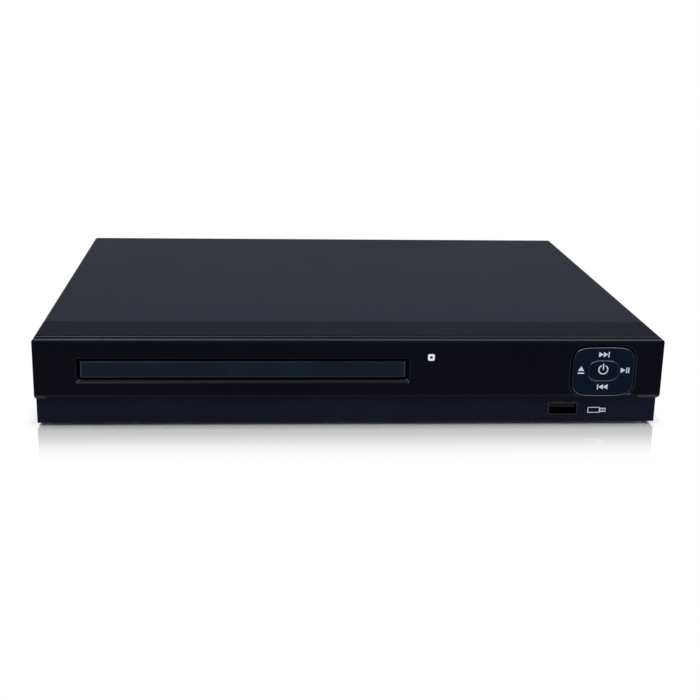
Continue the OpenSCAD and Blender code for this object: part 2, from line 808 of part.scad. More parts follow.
// Glossy front panel: a shallow tray-like moulding with the mouth, the pad's hole and the sensor's hole
module front_fascia() {
    in_y = front_y + fascia_wall;
    mouth_lo = [tray_x - door_w / 2 - door_gap, door_z - door_gap];
    mouth_hi = [tray_x + door_w / 2 + door_gap, door_z + door_h + door_gap];
    color("#0f0e14") difference() {
        intersection() {
            along_x(-half_w, half_w) fascia_side_2d();
            along_y(front_y - 1, strip_y + 1)
                translate([0, (fascia_low + fascia_top) / 2]) round_rect(body_w, fascia_h, fascia_r);
        }
        // Hollow behind the front wall, leaving a collar round each opening
        difference() {
            block([-half_w + fascia_rim, in_y, fascia_low + fascia_rim],
                [half_w - fascia_rim, strip_y + 1, fascia_top - fascia_rim - groove_depth]);
            block([mouth_lo[0] - 1.5, in_y - 1, mouth_lo[1] - 1.5],
                [mouth_hi[0] + 1.5, strip_y + 2, mouth_hi[1] + 1.5]);
            along_y(in_y - 1, strip_y + 2)
                translate([pad_x, pad_z])
                    bowed(pad_w + 2 * pad_gap + 1.6, pad_h + 2 * pad_gap + 1.4, pad_power);
            bar_y(ir_x, ir_z, 4, in_y - 1, strip_y + 2);
        }
        along_y(front_y - 1, strip_y + 1) {
            tray_mouth_2d();
            translate([pad_x, pad_z]) bowed(pad_w + 2 * pad_gap, pad_h + 2 * pad_gap, pad_power);
            translate([ir_x, ir_z]) round_rect(ir_w, ir_w, ir_r);
        }
        bevelled_mouth(mouth_lo, mouth_hi, front_y - 0.01, front_y + 1.5,
            [slot_bevel_end, slot_bevel_low], [slot_bevel_end, slot_bevel_top]);
        // Bevel round the pad, in four thin steps
        for (i = [0 : 3]) {
            grow = pad_bevel * (1 - i / 4);
            along_y(front_y - 1, front_y + pad_bevel * (i + 1) / 4)
                translate([pad_x, pad_z])
                bowed(pad_w + 2 * (pad_gap + grow), pad_h + 2 * (pad_gap + grow), pad_power);
        }
    }
}

// Milky window in front of the sensor
module ir_window() {
    color("#bfc7d1") along_y(front_y, front_y + fascia_wall + 1)
        translate([ir_x, ir_z]) round_rect(ir_w - 0.06, ir_w - 0.06, ir_r);
}

// Ring between the bezel and the pad: pins along X run in the bezel, holes along Z take the pad's pins
module pad_carrier() {
    color("gray") translate([pad_x, pivot_y, pad_z]) {
        difference() {
            block([-ring_out[0], -ring_half_t, -ring_out[1]], [ring_out[0], ring_half_t, ring_out[1]]);
            block([-ring_in[0], -ring_half_t - 1, -ring_in[1]], [ring_in[0], ring_half_t + 1, ring_in[1]]);
            bar_z(0, 0, pad_pin_r + pin_gap, -ring_out[1] - 1, ring_out[1] + 1);
        }
        both_sides()
            bar_x(0, 0, pad_pin_r, ring_out[0] - 0.5, pad_w / 2);
    }
}

// Four-way rocker pad with a hole for the power button, two pinned lugs and four pressing posts
module rocker_pad() {
    hole_h = power_h / 2 + power_gap;
    plate_rear = front_y + pad_t;
    color("#1a1c2b") {
        difference() {
            translate([pad_x, 0, pad_z]) {
                along_y(front_y, plate_rear) bowed(pad_w, pad_h, pad_power);
                for (side = [-1, 1]) {
                    mirror([0, 0, side < 0 ? 1 : 0]) {
                        block([-2, plate_rear - 0.1, ring_in[1] - 1], [2, pivot_y + 1, ring_in[1] - 0.1]);
                        bar_z(0, pivot_y, pad_pin_r, ring_in[1] - 0.5, ring_out[1]);
                    }
                    bar_y(0, side * post_z, post_r, plate_rear - 0.1, post_end_y);
                    bar_y(side * post_x, -post_low, post_r, plate_rear - 0.1, post_end_y);
                }
            }
            along_y(front_y - 1, plate_rear + 1)
                translate([pad_x, power_z]) bowed(power_w + 2 * power_gap, 2 * hole_h, 3);
        }
    }
}

// Power button: a bowed cap on a stem that ends short of its switch
module power_button() {
    color("#1f212e") {
        along_y(front_y - power_out, front_y + pad_t)
            translate([pad_x, power_z]) bowed(power_w, power_h, 3);
        block([pad_x - 4, front_y + pad_t - 0.1, power_z - 2], [pad_x + 4, post_end_y, power_z + 2]);
    }
}

// Upright board behind the bezel, held on three bosses
module front_board() {
    color("#1a5933") difference() {
        block([front_board_x[0], front_board_y, front_board_low],
            [front_board_x[1], front_board_y + board_t, front_board_top]);
        for (p = boss_at) {
            bar_y(p[0], p[1], screw_r * 0.7 + 0.2, front_board_y - 1, front_board_y + board_t + 1);
        }
    }
}

// One switch under each pressing post, and one under the power button
module tact_switches() {
    places = [
        [0, post_z], [0, -post_z], [post_x, -post_low], [-post_x, -post_low], [0, power_up]
    ];
    color("black") for (p = places) {
        translate([pad_x + p[0], front_board_y, pad_z + p[1]]) {
            block([-3, -switch_h, -2.5], [3, 0, 2.5]);
            bar_y(0, 0, plunger_r, -switch_h - plunger_h, -switch_h + 0.1);
        }
    }
}

// Remote-control sensor on the front board
module ir_receiver() {
    color("#261f26") {
        block([ir_x - 3, front_board_y - 3.5, ir_z - 3.4], [ir_x + 3, front_board_y, ir_z + 3.4]);
        translate([ir_x, front_board_y - 3.5, ir_z]) rotate([90, 0, 0]) cylinder(r = 2.4, h = 1);
    }
}

// Steel shell of the memory socket
module usb_shell() {
    color("silver") difference() {
        block([usb_x - usb_w / 2, strip_y + 0.3, usb_z - usb_h / 2],
            [usb_x + usb_w / 2, strip_y + 0.3 + usb_d, usb_z + usb_h / 2]);
        block([usb_x - usb_w / 2 + usb_sheet, strip_y - 1, usb_z - usb_h / 2 + usb_sheet],
            [usb_x + usb_w / 2 - usb_sheet, strip_y + usb_d - 0.7, usb_z + usb_h / 2 - usb_sheet]);
    }
}

// Contact tongue inside the memory socket
module usb_tongue() {
    back_y = strip_y + usb_d - 0.7;
    color("#1a1a1a") {
        block([usb_x - 5.6, strip_y + 1.6, usb_z + 0.2], [usb_x + 5.6, back_y - 3, usb_z + 2]);
        block([usb_x - usb_w / 2 + usb_sheet, back_y - 3, usb_z - usb_h / 2 + usb_sheet],
            [usb_x + usb_w / 2 - usb_sheet, back_y, usb_z + usb_h / 2 - usb_sheet]);
    }
}

// Small flat board under the memory socket
module usb_board() {
    color("#1a5933") block([usb_x - 10, wall_y + 0.3, usb_z - usb_h / 2 - 1.2],
        [usb_x + 10, wall_y + 24, usb_z - usb_h / 2]);
}

// ---- Boards and rear sockets ----

// Main board on four standoffs
module main_board() {
    color("#1a5933") difference() {
        union() {
            block([main_front_x, main_rear - main_l, board_z], [main_x + main_w, main_rear, board_top]);
            block([main_x, main_rear - rear_room + 2, board_z], [main_x + main_w, main_rear, board_top]);
        }
        for (p = main_holes) {
            bar_z(p[0], p[1], hole_r, board_z - 1, board_top + 1);
        }
    }
}

// Decoder, memory and driver chips on the main board
module main_chips() {
    y = main_rear - main_l;
    chips = [
        [36, 44, 22, 22, 1.4], [64, 42, 12, 20, 1.2], [30, 76, 12, 8, 1.2],
        [66, 76, 10, 8, 1.2], [30, 18, 14, 9, 1.6]
    ];
    color("#121214") for (c = chips) {
        x = main_front_x + c[0] * main_share;
        block([x - c[2] / 2, y + c[1] - c[3] / 2, board_top],
            [x + c[2] / 2, y + c[1] + c[3] / 2, board_top + c[4]]);
    }
}

// Small upright capacitors on the main board
module board_capacitors() {
    y = main_rear - main_l;
    places = [[19, 34], [19, 54], [84, 30], [84, 42], [84, 54], [48, 18], [58, 18], [48, 66], [50, 84]];
    color("#262b4c") for (p = places) {
        bar_z(main_front_x + p[0] * main_share, y + p[1], 3.1, board_top, board_top + 7.5);
    }
}

// Digital picture socket: a steel shell with a contact tongue
module hdmi_socket() {
    z = board_top + 0.2;
    depth = 12;
    w = hdmi_w / 2;
    sheet = 0.5;
    color("silver") difference() {
        along_y(panel_y - depth, panel_y + 0.5) translate([hdmi_x, z])
            polygon([[-w + 1.6, 0], [w - 1.6, 0], [w, 1.8], [w, hdmi_h], [-w, hdmi_h], [-w, 1.8]]);
        along_y(panel_y - depth + 3, panel_y + 1) translate([hdmi_x, z])
            polygon([
                [-w + 1.6 + sheet, sheet], [w - 1.6 - sheet, sheet], [w - sheet, 1.8 + sheet * 0.4],
                [w - sheet, hdmi_h - sheet], [-w + sheet, hdmi_h - sheet], [-w + sheet, 1.8 + sheet * 0.4]
            ]);
    }
    color("black") block([hdmi_x - w + 2.4, panel_y - depth + 2.5, z + 2.3],
        [hdmi_x + w - 2.4, panel_y - 1, z + 3.7]);
    color("silver") for (x = [-4, 4]) {
        block([hdmi_x + x - 1, panel_y - 8, board_top], [hdmi_x + x + 1, panel_y - 4, z + 0.1]);
    }
}

// Wide audio and video socket: a shell with a notched corner and a slotted insert
module scart_socket() {
    z = board_top + 0.2;
    depth = 17;
    w = scart_w / 2;
    cut = 4;
    color("#1f1f21") difference() {
        along_y(panel_y - depth, panel_y + 0.5) translate([scart_x, z])
            polygon([[-w, 0], [w, 0], [w, scart_h], [-w + cut, scart_h], [-w, scart_h - cut]]);
        difference() {
            along_y(panel_y - 11, panel_y + 1) translate([scart_x, z])
                polygon([
                    [-w + 1, 1], [w - 1, 1], [w - 1, scart_h - 1],
                    [-w + cut + 0.6, scart_h - 1], [-w + 1, scart_h - cut - 0.6]
                ]);
            block([scart_x - w + 3.2, panel_y - 12, z + 3.4],
                [scart_x + w - 3.2, panel_y - 0.5, z + scart_h - 3.4]);
        }
        for (i = [0 : 9], row = [0, 1]) {
            x = scart_x - w + 6.2 + i * (scart_w - 12.4) / 9;
            low = z + 4.5 + row * (scart_h - 11.2);
            block([x - 1, panel_y - 9, low], [x + 1, panel_y + 1, low + 2.2]);
        }
    }
    color("#1f1f21") for (x = [-w + 4, w - 4]) {
        block([scart_x + x - 2, panel_y - 12, board_top], [scart_x + x + 2, panel_y - 6, z + 0.1]);
    }
}

// Two-by-two block that holds the round jacks, with a collar through the panel for each
module rca_block() {
    w = jack_pitch;
    color("#1f1f21") difference() {
        union() {
            block([rca_x - w, panel_in_y - 12, board_top],
                [rca_x + w, panel_in_y - 0.2, rca_low + jack_pitch * 1.5 - 0.9]);
            for (i = [-0.5, 0.5], row = [0, 1]) {
                bar_y(rca_x + i * w, rca_low + row * w, w / 2 - 0.9, panel_in_y - 1, panel_y + 1.6);
            }
        }
        for (i = [-0.5, 0.5], row = [0, 1]) {
            bar_y(rca_x + i * w, rca_low + row * w, jack_root_r + 0.03, panel_in_y - 6, panel_y + 4);
        }
    }
}

// Plated sleeves of the round jacks, each with its centre hole
module rca_jacks() {
    color("gold") for (i = [-0.5, 0.5], row = [0, 1]) {
        translate([rca_x + i * jack_pitch, 0, rca_low + row * jack_pitch]) difference() {
            union() {
                bar_y(0, 0, jack_root_r, panel_in_y - 6, rear_y + jack_out - 1);
                bar_y(0, 0, jack_r, rear_y + jack_out - 7, rear_y + jack_out);
            }
            bar_y(0, 0, 1.7, panel_in_y - 4, rear_y + jack_out + 1);
            difference() {
                bar_y(0, 0, jack_root_r - 0.4, panel_y - 1, rear_y + jack_out + 1);
                bar_y(0, 0, 2.9, panel_y - 2, rear_y + jack_out - 0.6);
            }
        }
    }
}

// Two-pin mains inlet with a figure-eight cavity
module mains_inlet() {
    z = inlet_z;
    color("#17171a") difference() {
        along_y(panel_y - inlet_d, panel_y + 0.6)
            translate([inlet_x, z]) round_rect(inlet_w, inlet_h, 1.5);
        along_y(panel_y - inlet_d + 3, panel_y + 1) translate([inlet_x, z]) {
            for (side = [-1, 1]) {
                translate([side * inlet_pitch / 2, 0]) circle(4.4);
            }
            square([inlet_pitch, 6.4], center = true);
        }
        for (side = [-1, 1]) {
            bar_y(inlet_x + side * inlet_pitch / 2, z, 1.22, panel_y - inlet_d - 1, panel_y);
        }
    }
}

// The inlet's two round pins
module inlet_pins() {
    color("silver") for (side = [-1, 1]) {
        bar_y(inlet_x + side * inlet_pitch / 2, inlet_z, 1.2, panel_y - inlet_d - 2, panel_y - 1.5);
    }
}

// Power board on four standoffs
module power_board() {
    color("#8c6633") difference() {
        block([power_board_x, main_rear - power_board_l, board_z],
            [power_board_x + power_board_w, main_rear, board_top]);
        for (p = power_holes) {
            bar_z(p[0], p[1], hole_r, board_z - 1, board_top + 1);
        }
    }
}

// Switching transformer: a ferrite frame round a wound bobbin
module transformer() {
    x = power_board_x + 58;
    k = power_share;
    y = main_rear - 20 * k;
    color("#262629") difference() {
        block([x - 13, y - 4 * k, board_top + 3], [x + 13, y + 4 * k, board_top + 21]);
        block([x - 9.6, y - 5, board_top + 6], [x + 9.6, y + 5, board_top + 18]);
    }
    color("goldenrod") {
        bar_z(x, y, 9 * k, board_top + 6, board_top + 18);
        block([x - 9.5, y - 10 * k, board_top + 18.1], [x + 9.5, y - 4.1 * k, board_top + 19.3]);
        block([x - 9.5, y - 10 * k, board_top], [x + 9.5, y + 10 * k, board_top + 3]);
        bar_z(x, y, 6 * k, board_top + 3, board_top + 7);
    }
}

// Bulk and output capacitors of the power supply
module power_capacitors() {
    k = power_share;
    places = [[36, 22, 7, 22], [84, 12, 4.2, 14], [84, 24, 4.2, 14], [74, 32, 3.2, 11]];
    color("#1a1a1f") for (c = places) {
        bar_z(power_board_x + c[0], main_rear - c[1] * k, c[2] * k, board_top, board_top + c[3]);
    }
}

// Finned heat sink beside the transformer
module heat_sink() {
    x = power_board_x + 41.5;
    y = main_rear - 37 * power_share;
    color("silver") {
        block([x - 11, y, board_top], [x + 11, y + 1.6 * power_share, board_top + 20]);
        for (i = [0 : 4]) {
            block([x - 11 + i * 5.1, y + 1.5 * power_share, board_top],
                [x - 9.4 + i * 5.1, y + 5 * power_share, board_top + 20]);
        }
    }
}

// Glass fuse in its two clips
module fuse() {
    x = power_board_x + 10;
    y = main_rear - 32 * power_share;
    color("silver") for (dx = [0, 17]) {
        block([x + dx, y - 3, board_top], [x + dx + 3, y + 3, board_top + 5.4]);
    }
    color("white") bar_x(y, board_top + 3, 2.5, x + 3, x + 17);
}

// A flat lead that rises, crosses over and comes down again, in the X-Z plane
module flat_lead(x0, x1, y, low, rise, width, t) {
    r = rise / 2;
    along_y(y - width / 2, y + width / 2) {
        translate([x0, low]) square([t, rise - r]);
        translate([x1 - t, low]) square([t, rise - r]);
        translate([x0 + r, low + rise - t]) square([x1 - x0 - 2 * r, t]);
        for (side = [0, 1]) {
            translate([side == 0 ? x0 + r : x1 - r, low + rise - r]) difference() {
                circle(r);
                circle(r - t);
                translate([-r - 1, -r - 2]) square([2 * r + 2, r + 2]);
                translate([side == 0 ? 0 : -r - 1, -1]) square([r + 1, r + 2]);
            }
        }
    }
}

// Low-voltage leads from the power board to the main board
module power_harness() {
    y = main_rear - 11 - 0.385 * min(39, power_board_l);
    color("red") flat_lead(power_board_x + power_board_w - 8.5, main_x + 1.8, y, board_top, 7, 7, 1.2);
}

// Flat ribbon from the loader's rear connector to the main board
module ribbon_cable() {
    y = disc_y + frame_rear + shelf_l / 2;
    low = tray_z + shelf_z;
    color("white") flat_lead(tray_x + shelf_x, main_front_x + 12, y, low, 9, shelf_l - 1, 0.5);
    // Its connector stands on the main board
    color("white") block([main_front_x + 10, y - shelf_l / 2, board_top],
        [main_front_x + 14, y + shelf_l / 2, low]);
}

// ---- Loader, in the disc axis's own frame ----

// Plastic frame: side walls with rails, gear deck, slider guide, rear beam and hinge bearings
module loader_frame() {
    rail_in = frame_in - 3.4;
    strip_top = frame_low + 1.6;
    color("#212124") at_loader() difference() {
        union() {
            both_sides() {
                block([frame_in, frame_front, frame_low], [frame_out, frame_rear, bridge_z]);
                block([rail_in, frame_front, -1.6], [frame_in + 0.1, frame_rear, -rail_gap]);
                block([strip_in, deck_rear, frame_low], [frame_in + 0.1, frame_rear, strip_top]);
                block([strip_in, hinge_y - 4.5, frame_low], [strip_in + 5, hinge_y + 4.5, hinge_z + 4.6]);
                for (y = [frame_front, -8, frame_rear - 12]) {
                    block([frame_in - 2.2, y, tray_h + 0.3], [frame_in + 0.1, y + 8, bridge_z]);
                }
                for (y = ear_y) {
                    block([frame_out - 0.1, y - ear_r, frame_low], [ear_out - ear_r, y + ear_r, strip_top]);
                    bar_z(ear_out - ear_r, y, ear_r, frame_low, strip_top);
                }
            }
            // Gear deck with its front apron and the slider's guide below it
            block([-frame_in - 0.1, frame_front, -deck_down - deck_t], [frame_in + 0.1, deck_rear, -deck_down]);
            block([-frame_in - 0.1, frame_front, frame_low], [frame_in + 0.1, frame_front + 2, -deck_down]);
            block([-44, slider_y - 1.8, slider_low - 1.4], [60, slider_y - 0.2, -deck_down - 0.1]);
            block([-44, slider_y - 1.8, slider_low - 1.4], [60, slider_y + slider_t + 0.6, slider_low - 0.15]);
            for (x = [-42, 58]) {
                block([x - 2, slider_y - 0.4, slider_low - 1.4], [x + 2, deck_rear, -deck_down - 0.1]);
            }
            // Rear beam, low enough for the tray to run over it
            block([-frame_in - 0.1, frame_rear - 7, frame_low], [frame_in + 0.1, frame_rear, -4]);
            // Shelf behind the beam for the ribbon's connector
            block([shelf_x - 4, frame_rear - 0.1, frame_low], [shelf_x + 4, frame_rear + shelf_l, shelf_z]);
            // Studs of the gears
            bar_z(tray_gear_x, gear_y, stud_r, -deck_down - 0.1, rack_h - 0.4);
            bar_z(pulley_x, gear_y, stud_r, -deck_down - 0.1, belt_z + belt_t + 0.7);
        }
        // The motor's shaft passes through the deck
        bar_z(motor_x, gear_y, 4, -deck_down - deck_t - 1, -deck_down + 1);
        for (x = [-8.5, 8.5]) {
            bar_z(motor_x + x, gear_y, 1.2, -deck_down - deck_t - 1, -deck_down + 1);
        }
        both_sides() {
            bar_x(hinge_y, hinge_z, trunnion_r + bore_gap, strip_in - 1, strip_in + 6);
            for (y = ear_y) {
                bar_z(ear_out - ear_r, y, hole_r, frame_low - 1, strip_top + 1);
            }
        }
    }
}

// Moulded bridge over the tray that carries the disc clamp
module clamp_bridge() {
    color("#212124") at_loader() difference() {
        union() {
            block([-frame_out, -bridge_w / 2, bridge_z], [frame_out, bridge_w / 2, bridge_z + bridge_t]);
            for (y = [-bridge_w / 2, bridge_w / 2 - 2]) {
                block([-frame_out + 6, y, bridge_z + bridge_t - 0.1],
                    [frame_out - 6, y + 2, bridge_z + bridge_t + 2.4]);
            }
        }
        bar_z(0, 0, clamp_r + 0.9, bridge_z - 1, bridge_z + bridge_t + 1);
    }
}

// Clamp puck that hangs in the bridge by its flange
module disc_clamp() {
    top = bridge_z + bridge_t;
    color("white") at_loader() difference() {
        union() {
            bar_z(0, 0, clamp_r, seat_z + 0.6, top + 1);
            bar_z(0, 0, flange_r, top, top + 1.6);
        }
        bar_z(0, 0, 8.4, seat_z, seat_z + 3.2);
        bar_z(0, 0, 10.1, top + 0.6, top + 2);
    }
}

// Steel plate in the clamp that the turntable's magnet pulls
module clamp_plate() {
    top = bridge_z + bridge_t;
    color("silver") at_loader() bar_z(0, 0, 10, top + 0.6, top + 1.5);
}

// Flat loading motor under the gear deck, its shaft through the deck
module loading_motor() {
    top = -deck_down - deck_t;
    color("silver") at_loader() {
        bar_z(motor_x, gear_y, load_motor_d / 2, top - load_motor_h, top);
        bar_z(motor_x, gear_y, 3, top - 0.1, top + 1);
        bar_z(motor_x, gear_y, 1, top, belt_z + belt_t + 0.6);
    }
}

// Grooved pulley on the motor's shaft
module motor_pulley() {
    color("goldenrod") at_loader() difference() {
        union() {
            bar_z(motor_x, gear_y, motor_pulley_r, belt_z - 0.7, belt_z + belt_t + 0.7);
            bar_z(motor_x, gear_y, motor_pulley_r + 1, belt_z - 0.7, belt_z - 0.1);
            bar_z(motor_x, gear_y, motor_pulley_r + 1, belt_z + belt_t + 0.1, belt_z + belt_t + 0.7);
        }
        bar_z(motor_x, gear_y, 1 + bore_gap, belt_z - 2, belt_z + belt_t + 2);
    }
}

// Square rubber belt round both pulleys
module drive_belt() {
    color("#1a1a1a") at_loader() translate([pulley_x, gear_y, 0]) rotate(180)
        along_z(belt_z, belt_z + belt_t) difference() {
            belt_2d(pulley_r + belt_gap + belt_t, motor_pulley_r + belt_gap + belt_t, belt_span);
            belt_2d(pulley_r + belt_gap, motor_pulley_r + belt_gap, belt_span);
        }
}

// Belt pulley with the pinion that drives the tray gear
module pulley_gear() {
    color("#d9d9cc") at_loader() translate([pulley_x, gear_y, 0]) difference() {
        union() {
            along_z(wheel_z, pulley_z) gear_2d(pulley_teeth, tray_module);
            bar_z(0, 0, pulley_r, pulley_z - 0.1, belt_z + belt_t + 0.5);
            bar_z(0, 0, pulley_r + 1, pulley_z - 0.1, belt_z - 0.1);
            bar_z(0, 0, pulley_r + 1, belt_z + belt_t + 0.1, belt_z + belt_t + 0.5);
        }
        bar_z(0, 0, stud_r + bore_gap, wheel_z - 1, belt_z + 4);
    }
}

// Wheel and pinion that drive the tray's rack
module tray_gear() {
    pulley_phase = 180 + 180 / wheel_teeth;
    color("#d9d9cc") at_loader() translate([tray_gear_x, gear_y, 0]) difference() {
        union() {
            along_z(wheel_z, wheel_z + wheel_t) gear_2d(wheel_teeth, tray_module, pulley_phase);
            bar_z(0, 0, pinion_r - 2, wheel_z, 0.4);
            along_z(0.3, rack_h - 0.3) gear_2d(rack_pinion_teeth, tray_module);
        }
        bar_z(0, 0, stud_r + bore_gap, wheel_z - 1, rack_h + 1);
    }
}

// Sliding cam plate whose slanted slot lifts and lowers the traverse
module cam_slider() {
    slope = cam_drop / cam_travel;
    color("#d9d9cc") at_loader() difference() {
        union() {
            along_y(slider_y, slider_y + slider_t)
                translate([-cam_travel - 6, slider_low]) square([cam_travel + 36, slider_top - slider_low]);
            along_y(slider_y, slider_y + slider_t + 0.5)
                translate([22, slider_low]) square([8, 3]);
        }
        along_y(slider_y - 1, slider_y + slider_t + 1)
            slot_2d([-cam_travel - 0.4, cam_pin_z - cam_drop - 0.4 * slope], [0.4, cam_pin_z + 0.4 * slope],
                cam_pin_r + 0.15);
    }
}

// ---- Tray ----

// Sliding tray with two disc recesses, the pickup's cut-out, a hollow underside and the rack
module disc_tray() {
    half = tray_w / 2;
    lane_in = tray_gear_x - pinion_r - 1.4;
    lane_out = rack_x + 1.15 * tray_module;
    recess_z = tray_h - recess_h;
    small_z = recess_z - small_recess_h;
    skin_z = small_z - 1.6;
    tooth_step = PI * tray_module;
    first = gear_y - 1.5 * tooth_step;
    count = floor(tray_travel / tooth_step) + 3;
    color("#242429") at_loader() {
        difference() {
            translate([0, tray_front, 0]) along_z(0, tray_h)
                translate([0, tray_l / 2]) round_rect(tray_w, tray_l, 2);
            bar_fine(disc_r, recess_z, tray_h + 1);
            bar_fine(small_disc_d / 2 + disc_gap, small_z, tray_h + 1);
            // Cut-out, open at the rear
            bar_fine(cutout_r, -1, tray_h + 1);
            block([-cutout_w / 2, 0, -1], [cutout_w / 2, tray_rear + 1, tray_h + 1]);
            // Finger notches beside the disc
            for (side = [-1, 1]) {
                bar_z(side * (disc_r - 6), 0, 9.5, recess_z - 0.6, tray_h + 1);
            }
            // Hollow underside between the rims
            difference() {
                block([-half + 7, tray_front + 3, -1], [lane_in - 1.6, tray_rear - 3, skin_z]);
                bar_fine(cutout_r + 2, -2, skin_z + 1);
                block([-cutout_w / 2 - 2, 0, -2], [cutout_w / 2 + 2, tray_rear + 1, skin_z + 1]);
            }
            // Lane of the rack's pinion, open at the rear
            block([lane_in, gear_y - pinion_r - 2.4, -1], [lane_out, tray_rear + 1, rack_h]);
        }
        along_z(0, rack_h + 0.1) rack_teeth_2d(rack_x, tray_module, first, count);
    }
}

// A large round cut about the disc's axis
module bar_fine(r, z0, z1) {
    translate([0, 0, z0]) cylinder(r = r, h = z1 - z0, $fn = FINE_FN);
}

// Door on the tray's front, chamfered round its face
module tray_door() {
    edge = 0.6;
    face_y = front_y + door_set;
    color("#1a212b") translate([tray_x, 0, 0]) intersection() {
        along_z(door_z, door_z + door_h) polygon([
            [-door_w / 2 + edge, face_y], [door_w / 2 - edge, face_y],
            [door_w / 2, face_y + edge], [door_w / 2, face_y + door_t],
            [-door_w / 2, face_y + door_t], [-door_w / 2, face_y + edge]
        ]);
        along_x(-door_w / 2, door_w / 2) polygon([
            [face_y, door_z + edge], [face_y, door_z + door_h - edge],
            [face_y + edge, door_z + door_h], [face_y + door_t, door_z + door_h],
            [face_y + door_t, door_z], [face_y + edge, door_z]
        ]);
    }
}

// ---- Traverse ----

// Chassis that carries the spindle motor and the pickup's rods, hinged at its rear
module traverse_chassis() {
    half = traverse_w / 2;
    color("#29292b") at_loader() difference() {
        union() {
            block([-half, traverse_front, traverse_low], [half, traverse_rear, traverse_top]);
            both_sides() bar_x(hinge_y, hinge_z, trunnion_r, half - 0.1, strip_in + 5);
            bar_y(0, cam_pin_z, cam_pin_r, slider_y - 0.1, traverse_front + 0.1);
            bar_z(feed_x, feed_y, stud_r, traverse_top - 0.1, feed_rack_z + feed_rack_t + 0.2);
        }
        // Opening for the pickup
        block([-opening_half, opening_front, traverse_low - 1], [opening_half, opening_rear, traverse_top + 1]);
        // Room under the front plate
        block([-half + 2, traverse_front + 2, traverse_low - 1], [17.5, opening_front - 2.6, traverse_top - 2]);
        // The spindle's hole and the feed motor's well
        bar_z(0, 0, 2.6, traverse_low - 1, traverse_top + 1);
        bar_z(feed_motor_x, feed_motor_y, feed_motor_d / 2 + 0.1, traverse_low - 1, traverse_top - 1.2);
        bar_z(feed_motor_x, feed_motor_y, 3.2, traverse_top - 2, traverse_top + 1);
        // Ends of the rods
        for (side = [-1, 1]) {
            bar_y(side * rod_x, hinge_z, rod_r + 0.02, opening_front - 2, opening_rear + 2);
        }
    }
}

// Flat spindle motor on the chassis, with its shaft
module spindle_motor() {
    color("silver") at_loader() {
        difference() {
            bar_z(0, 0, spindle_motor_r, traverse_top, traverse_top + 1);
            for (a = [60, 180, 300]) {
                rotate(a) bar_z(spindle_motor_r - 2, 0, 0.9, traverse_top - 1, traverse_top + 2);
            }
        }
        bar_z(0, 0, spindle_motor_r - 3.4, traverse_top + 0.9, seat_z - 5);
        bar_z(0, 0, 1, seat_z - 5.1, seat_z + 1);
    }
}

// Turntable with a centring cone, on the motor's shaft
module turntable() {
    color("#333338") at_loader() difference() {
        union() {
            bar_z(0, 0, turntable_r, seat_z - 3.4, seat_z - 0.6);
            bar_z(0, 0, 6, seat_z - 4.6, seat_z);
            bar_z(0, 0, 10.5, seat_z - 0.7, seat_z);
            bar_z(0, 0, 7.4, seat_z - 0.1, seat_z + 1.3);
            translate([0, 0, seat_z + 1.3]) cylinder(r1 = 7.4, r2 = 5.2, h = 1.2);
        }
        bar_z(0, 0, 1 + bore_gap, seat_z - 6, seat_z + 1.2);
    }
}

// Rubber ring that the disc lies on
module turntable_pad() {
    color("#0d0d0d") at_loader() difference() {
        bar_z(0, 0, turntable_r - 0.3, seat_z - 0.6, seat_z);
        bar_z(0, 0, 10.7, seat_z - 1, seat_z + 1);
    }
}

// Two polished guide rods
module guide_rods() {
    color("silver") at_loader() for (side = [-1, 1]) {
        bar_y(side * rod_x, hinge_z, rod_r, opening_front - 1.9, opening_rear + 1.9);
    }
}

// Pickup: a die-cast body with a bored ear on one rod and a forked ear on the other
module pickup_body() {
    back = pickup_front + pickup_l;
    low = hinge_z - rod_r - 1.2;
    high = hinge_z + rod_r + 1.2;
    color("#808085") at_loader() difference() {
        union() {
            block([-18, pickup_front, low], [18, back, high + 1]);
            block([-15, pickup_front + 1, high + 0.9], [15, back - 7, seat_z - 4.4]);
            block([-rod_x - 2.6, pickup_front, low], [-17.9, back, high]);
            block([17.9, pickup_front + 8, low], [rod_x + 2.6, pickup_front + 18, high]);
            // Arm that the rack is screwed to
            block([12, pickup_front + 3, feed_rack_z], [27.5, pickup_front + 12, feed_rack_z + feed_rack_t]);
            block([12, pickup_front + 3, high], [17, pickup_front + 12, feed_rack_z + 0.1]);
        }
        bar_y(-rod_x, hinge_z, rod_r + 0.06, pickup_front - 1, back + 1);
        block([rod_x - 2, pickup_front, hinge_z - rod_r - 0.06], [rod_x + 4, back, hinge_z + rod_r + 0.06]);
        bar_z(0, lens_home, 4.1, high + 1, seat_z);
    }
}

// Objective lens in the pickup's well
module pickup_lens() {
    z = hinge_z + rod_r + 2.2;
    color("#668cccb2") at_loader() intersection() {
        bar_z(0, lens_home, 4, z, seat_z - 1.2);
        translate([0, lens_home, seat_z - 1.2 - 9]) sphere(r = 9, $fn = 64);
    }
}

// Plastic rack beside the pickup, ahead of it and under the tray
module pickup_rack() {
    tooth_step = PI * feed_module;
    count = floor(pickup_travel / tooth_step) + 4;
    first = feed_y + (2.5 - count) * tooth_step;
    color("white") at_loader() {
        block([27.5, first - tooth_step / 2, feed_rack_z],
            [feed_rack_x - 1.15 * feed_module, first + (count - 0.5) * tooth_step, feed_rack_z + feed_rack_t]);
        mirror([1, 0, 0]) along_z(feed_rack_z, feed_rack_z + feed_rack_t)
            rack_teeth_2d(-feed_rack_x, feed_module, first, count);
    }
}

// Feed motor in its well, its shaft through the chassis
module feed_motor() {
    top = traverse_top - 1.2;
    color("silver") at_loader() {
        bar_z(feed_motor_x, feed_motor_y, feed_motor_d / 2, top - feed_motor_h, top);
        bar_z(feed_motor_x, feed_motor_y, 3, top - 0.1, top + 1);
        bar_z(feed_motor_x, feed_motor_y, 0.8, top, feed_wheel_z + 1.3);
    }
}

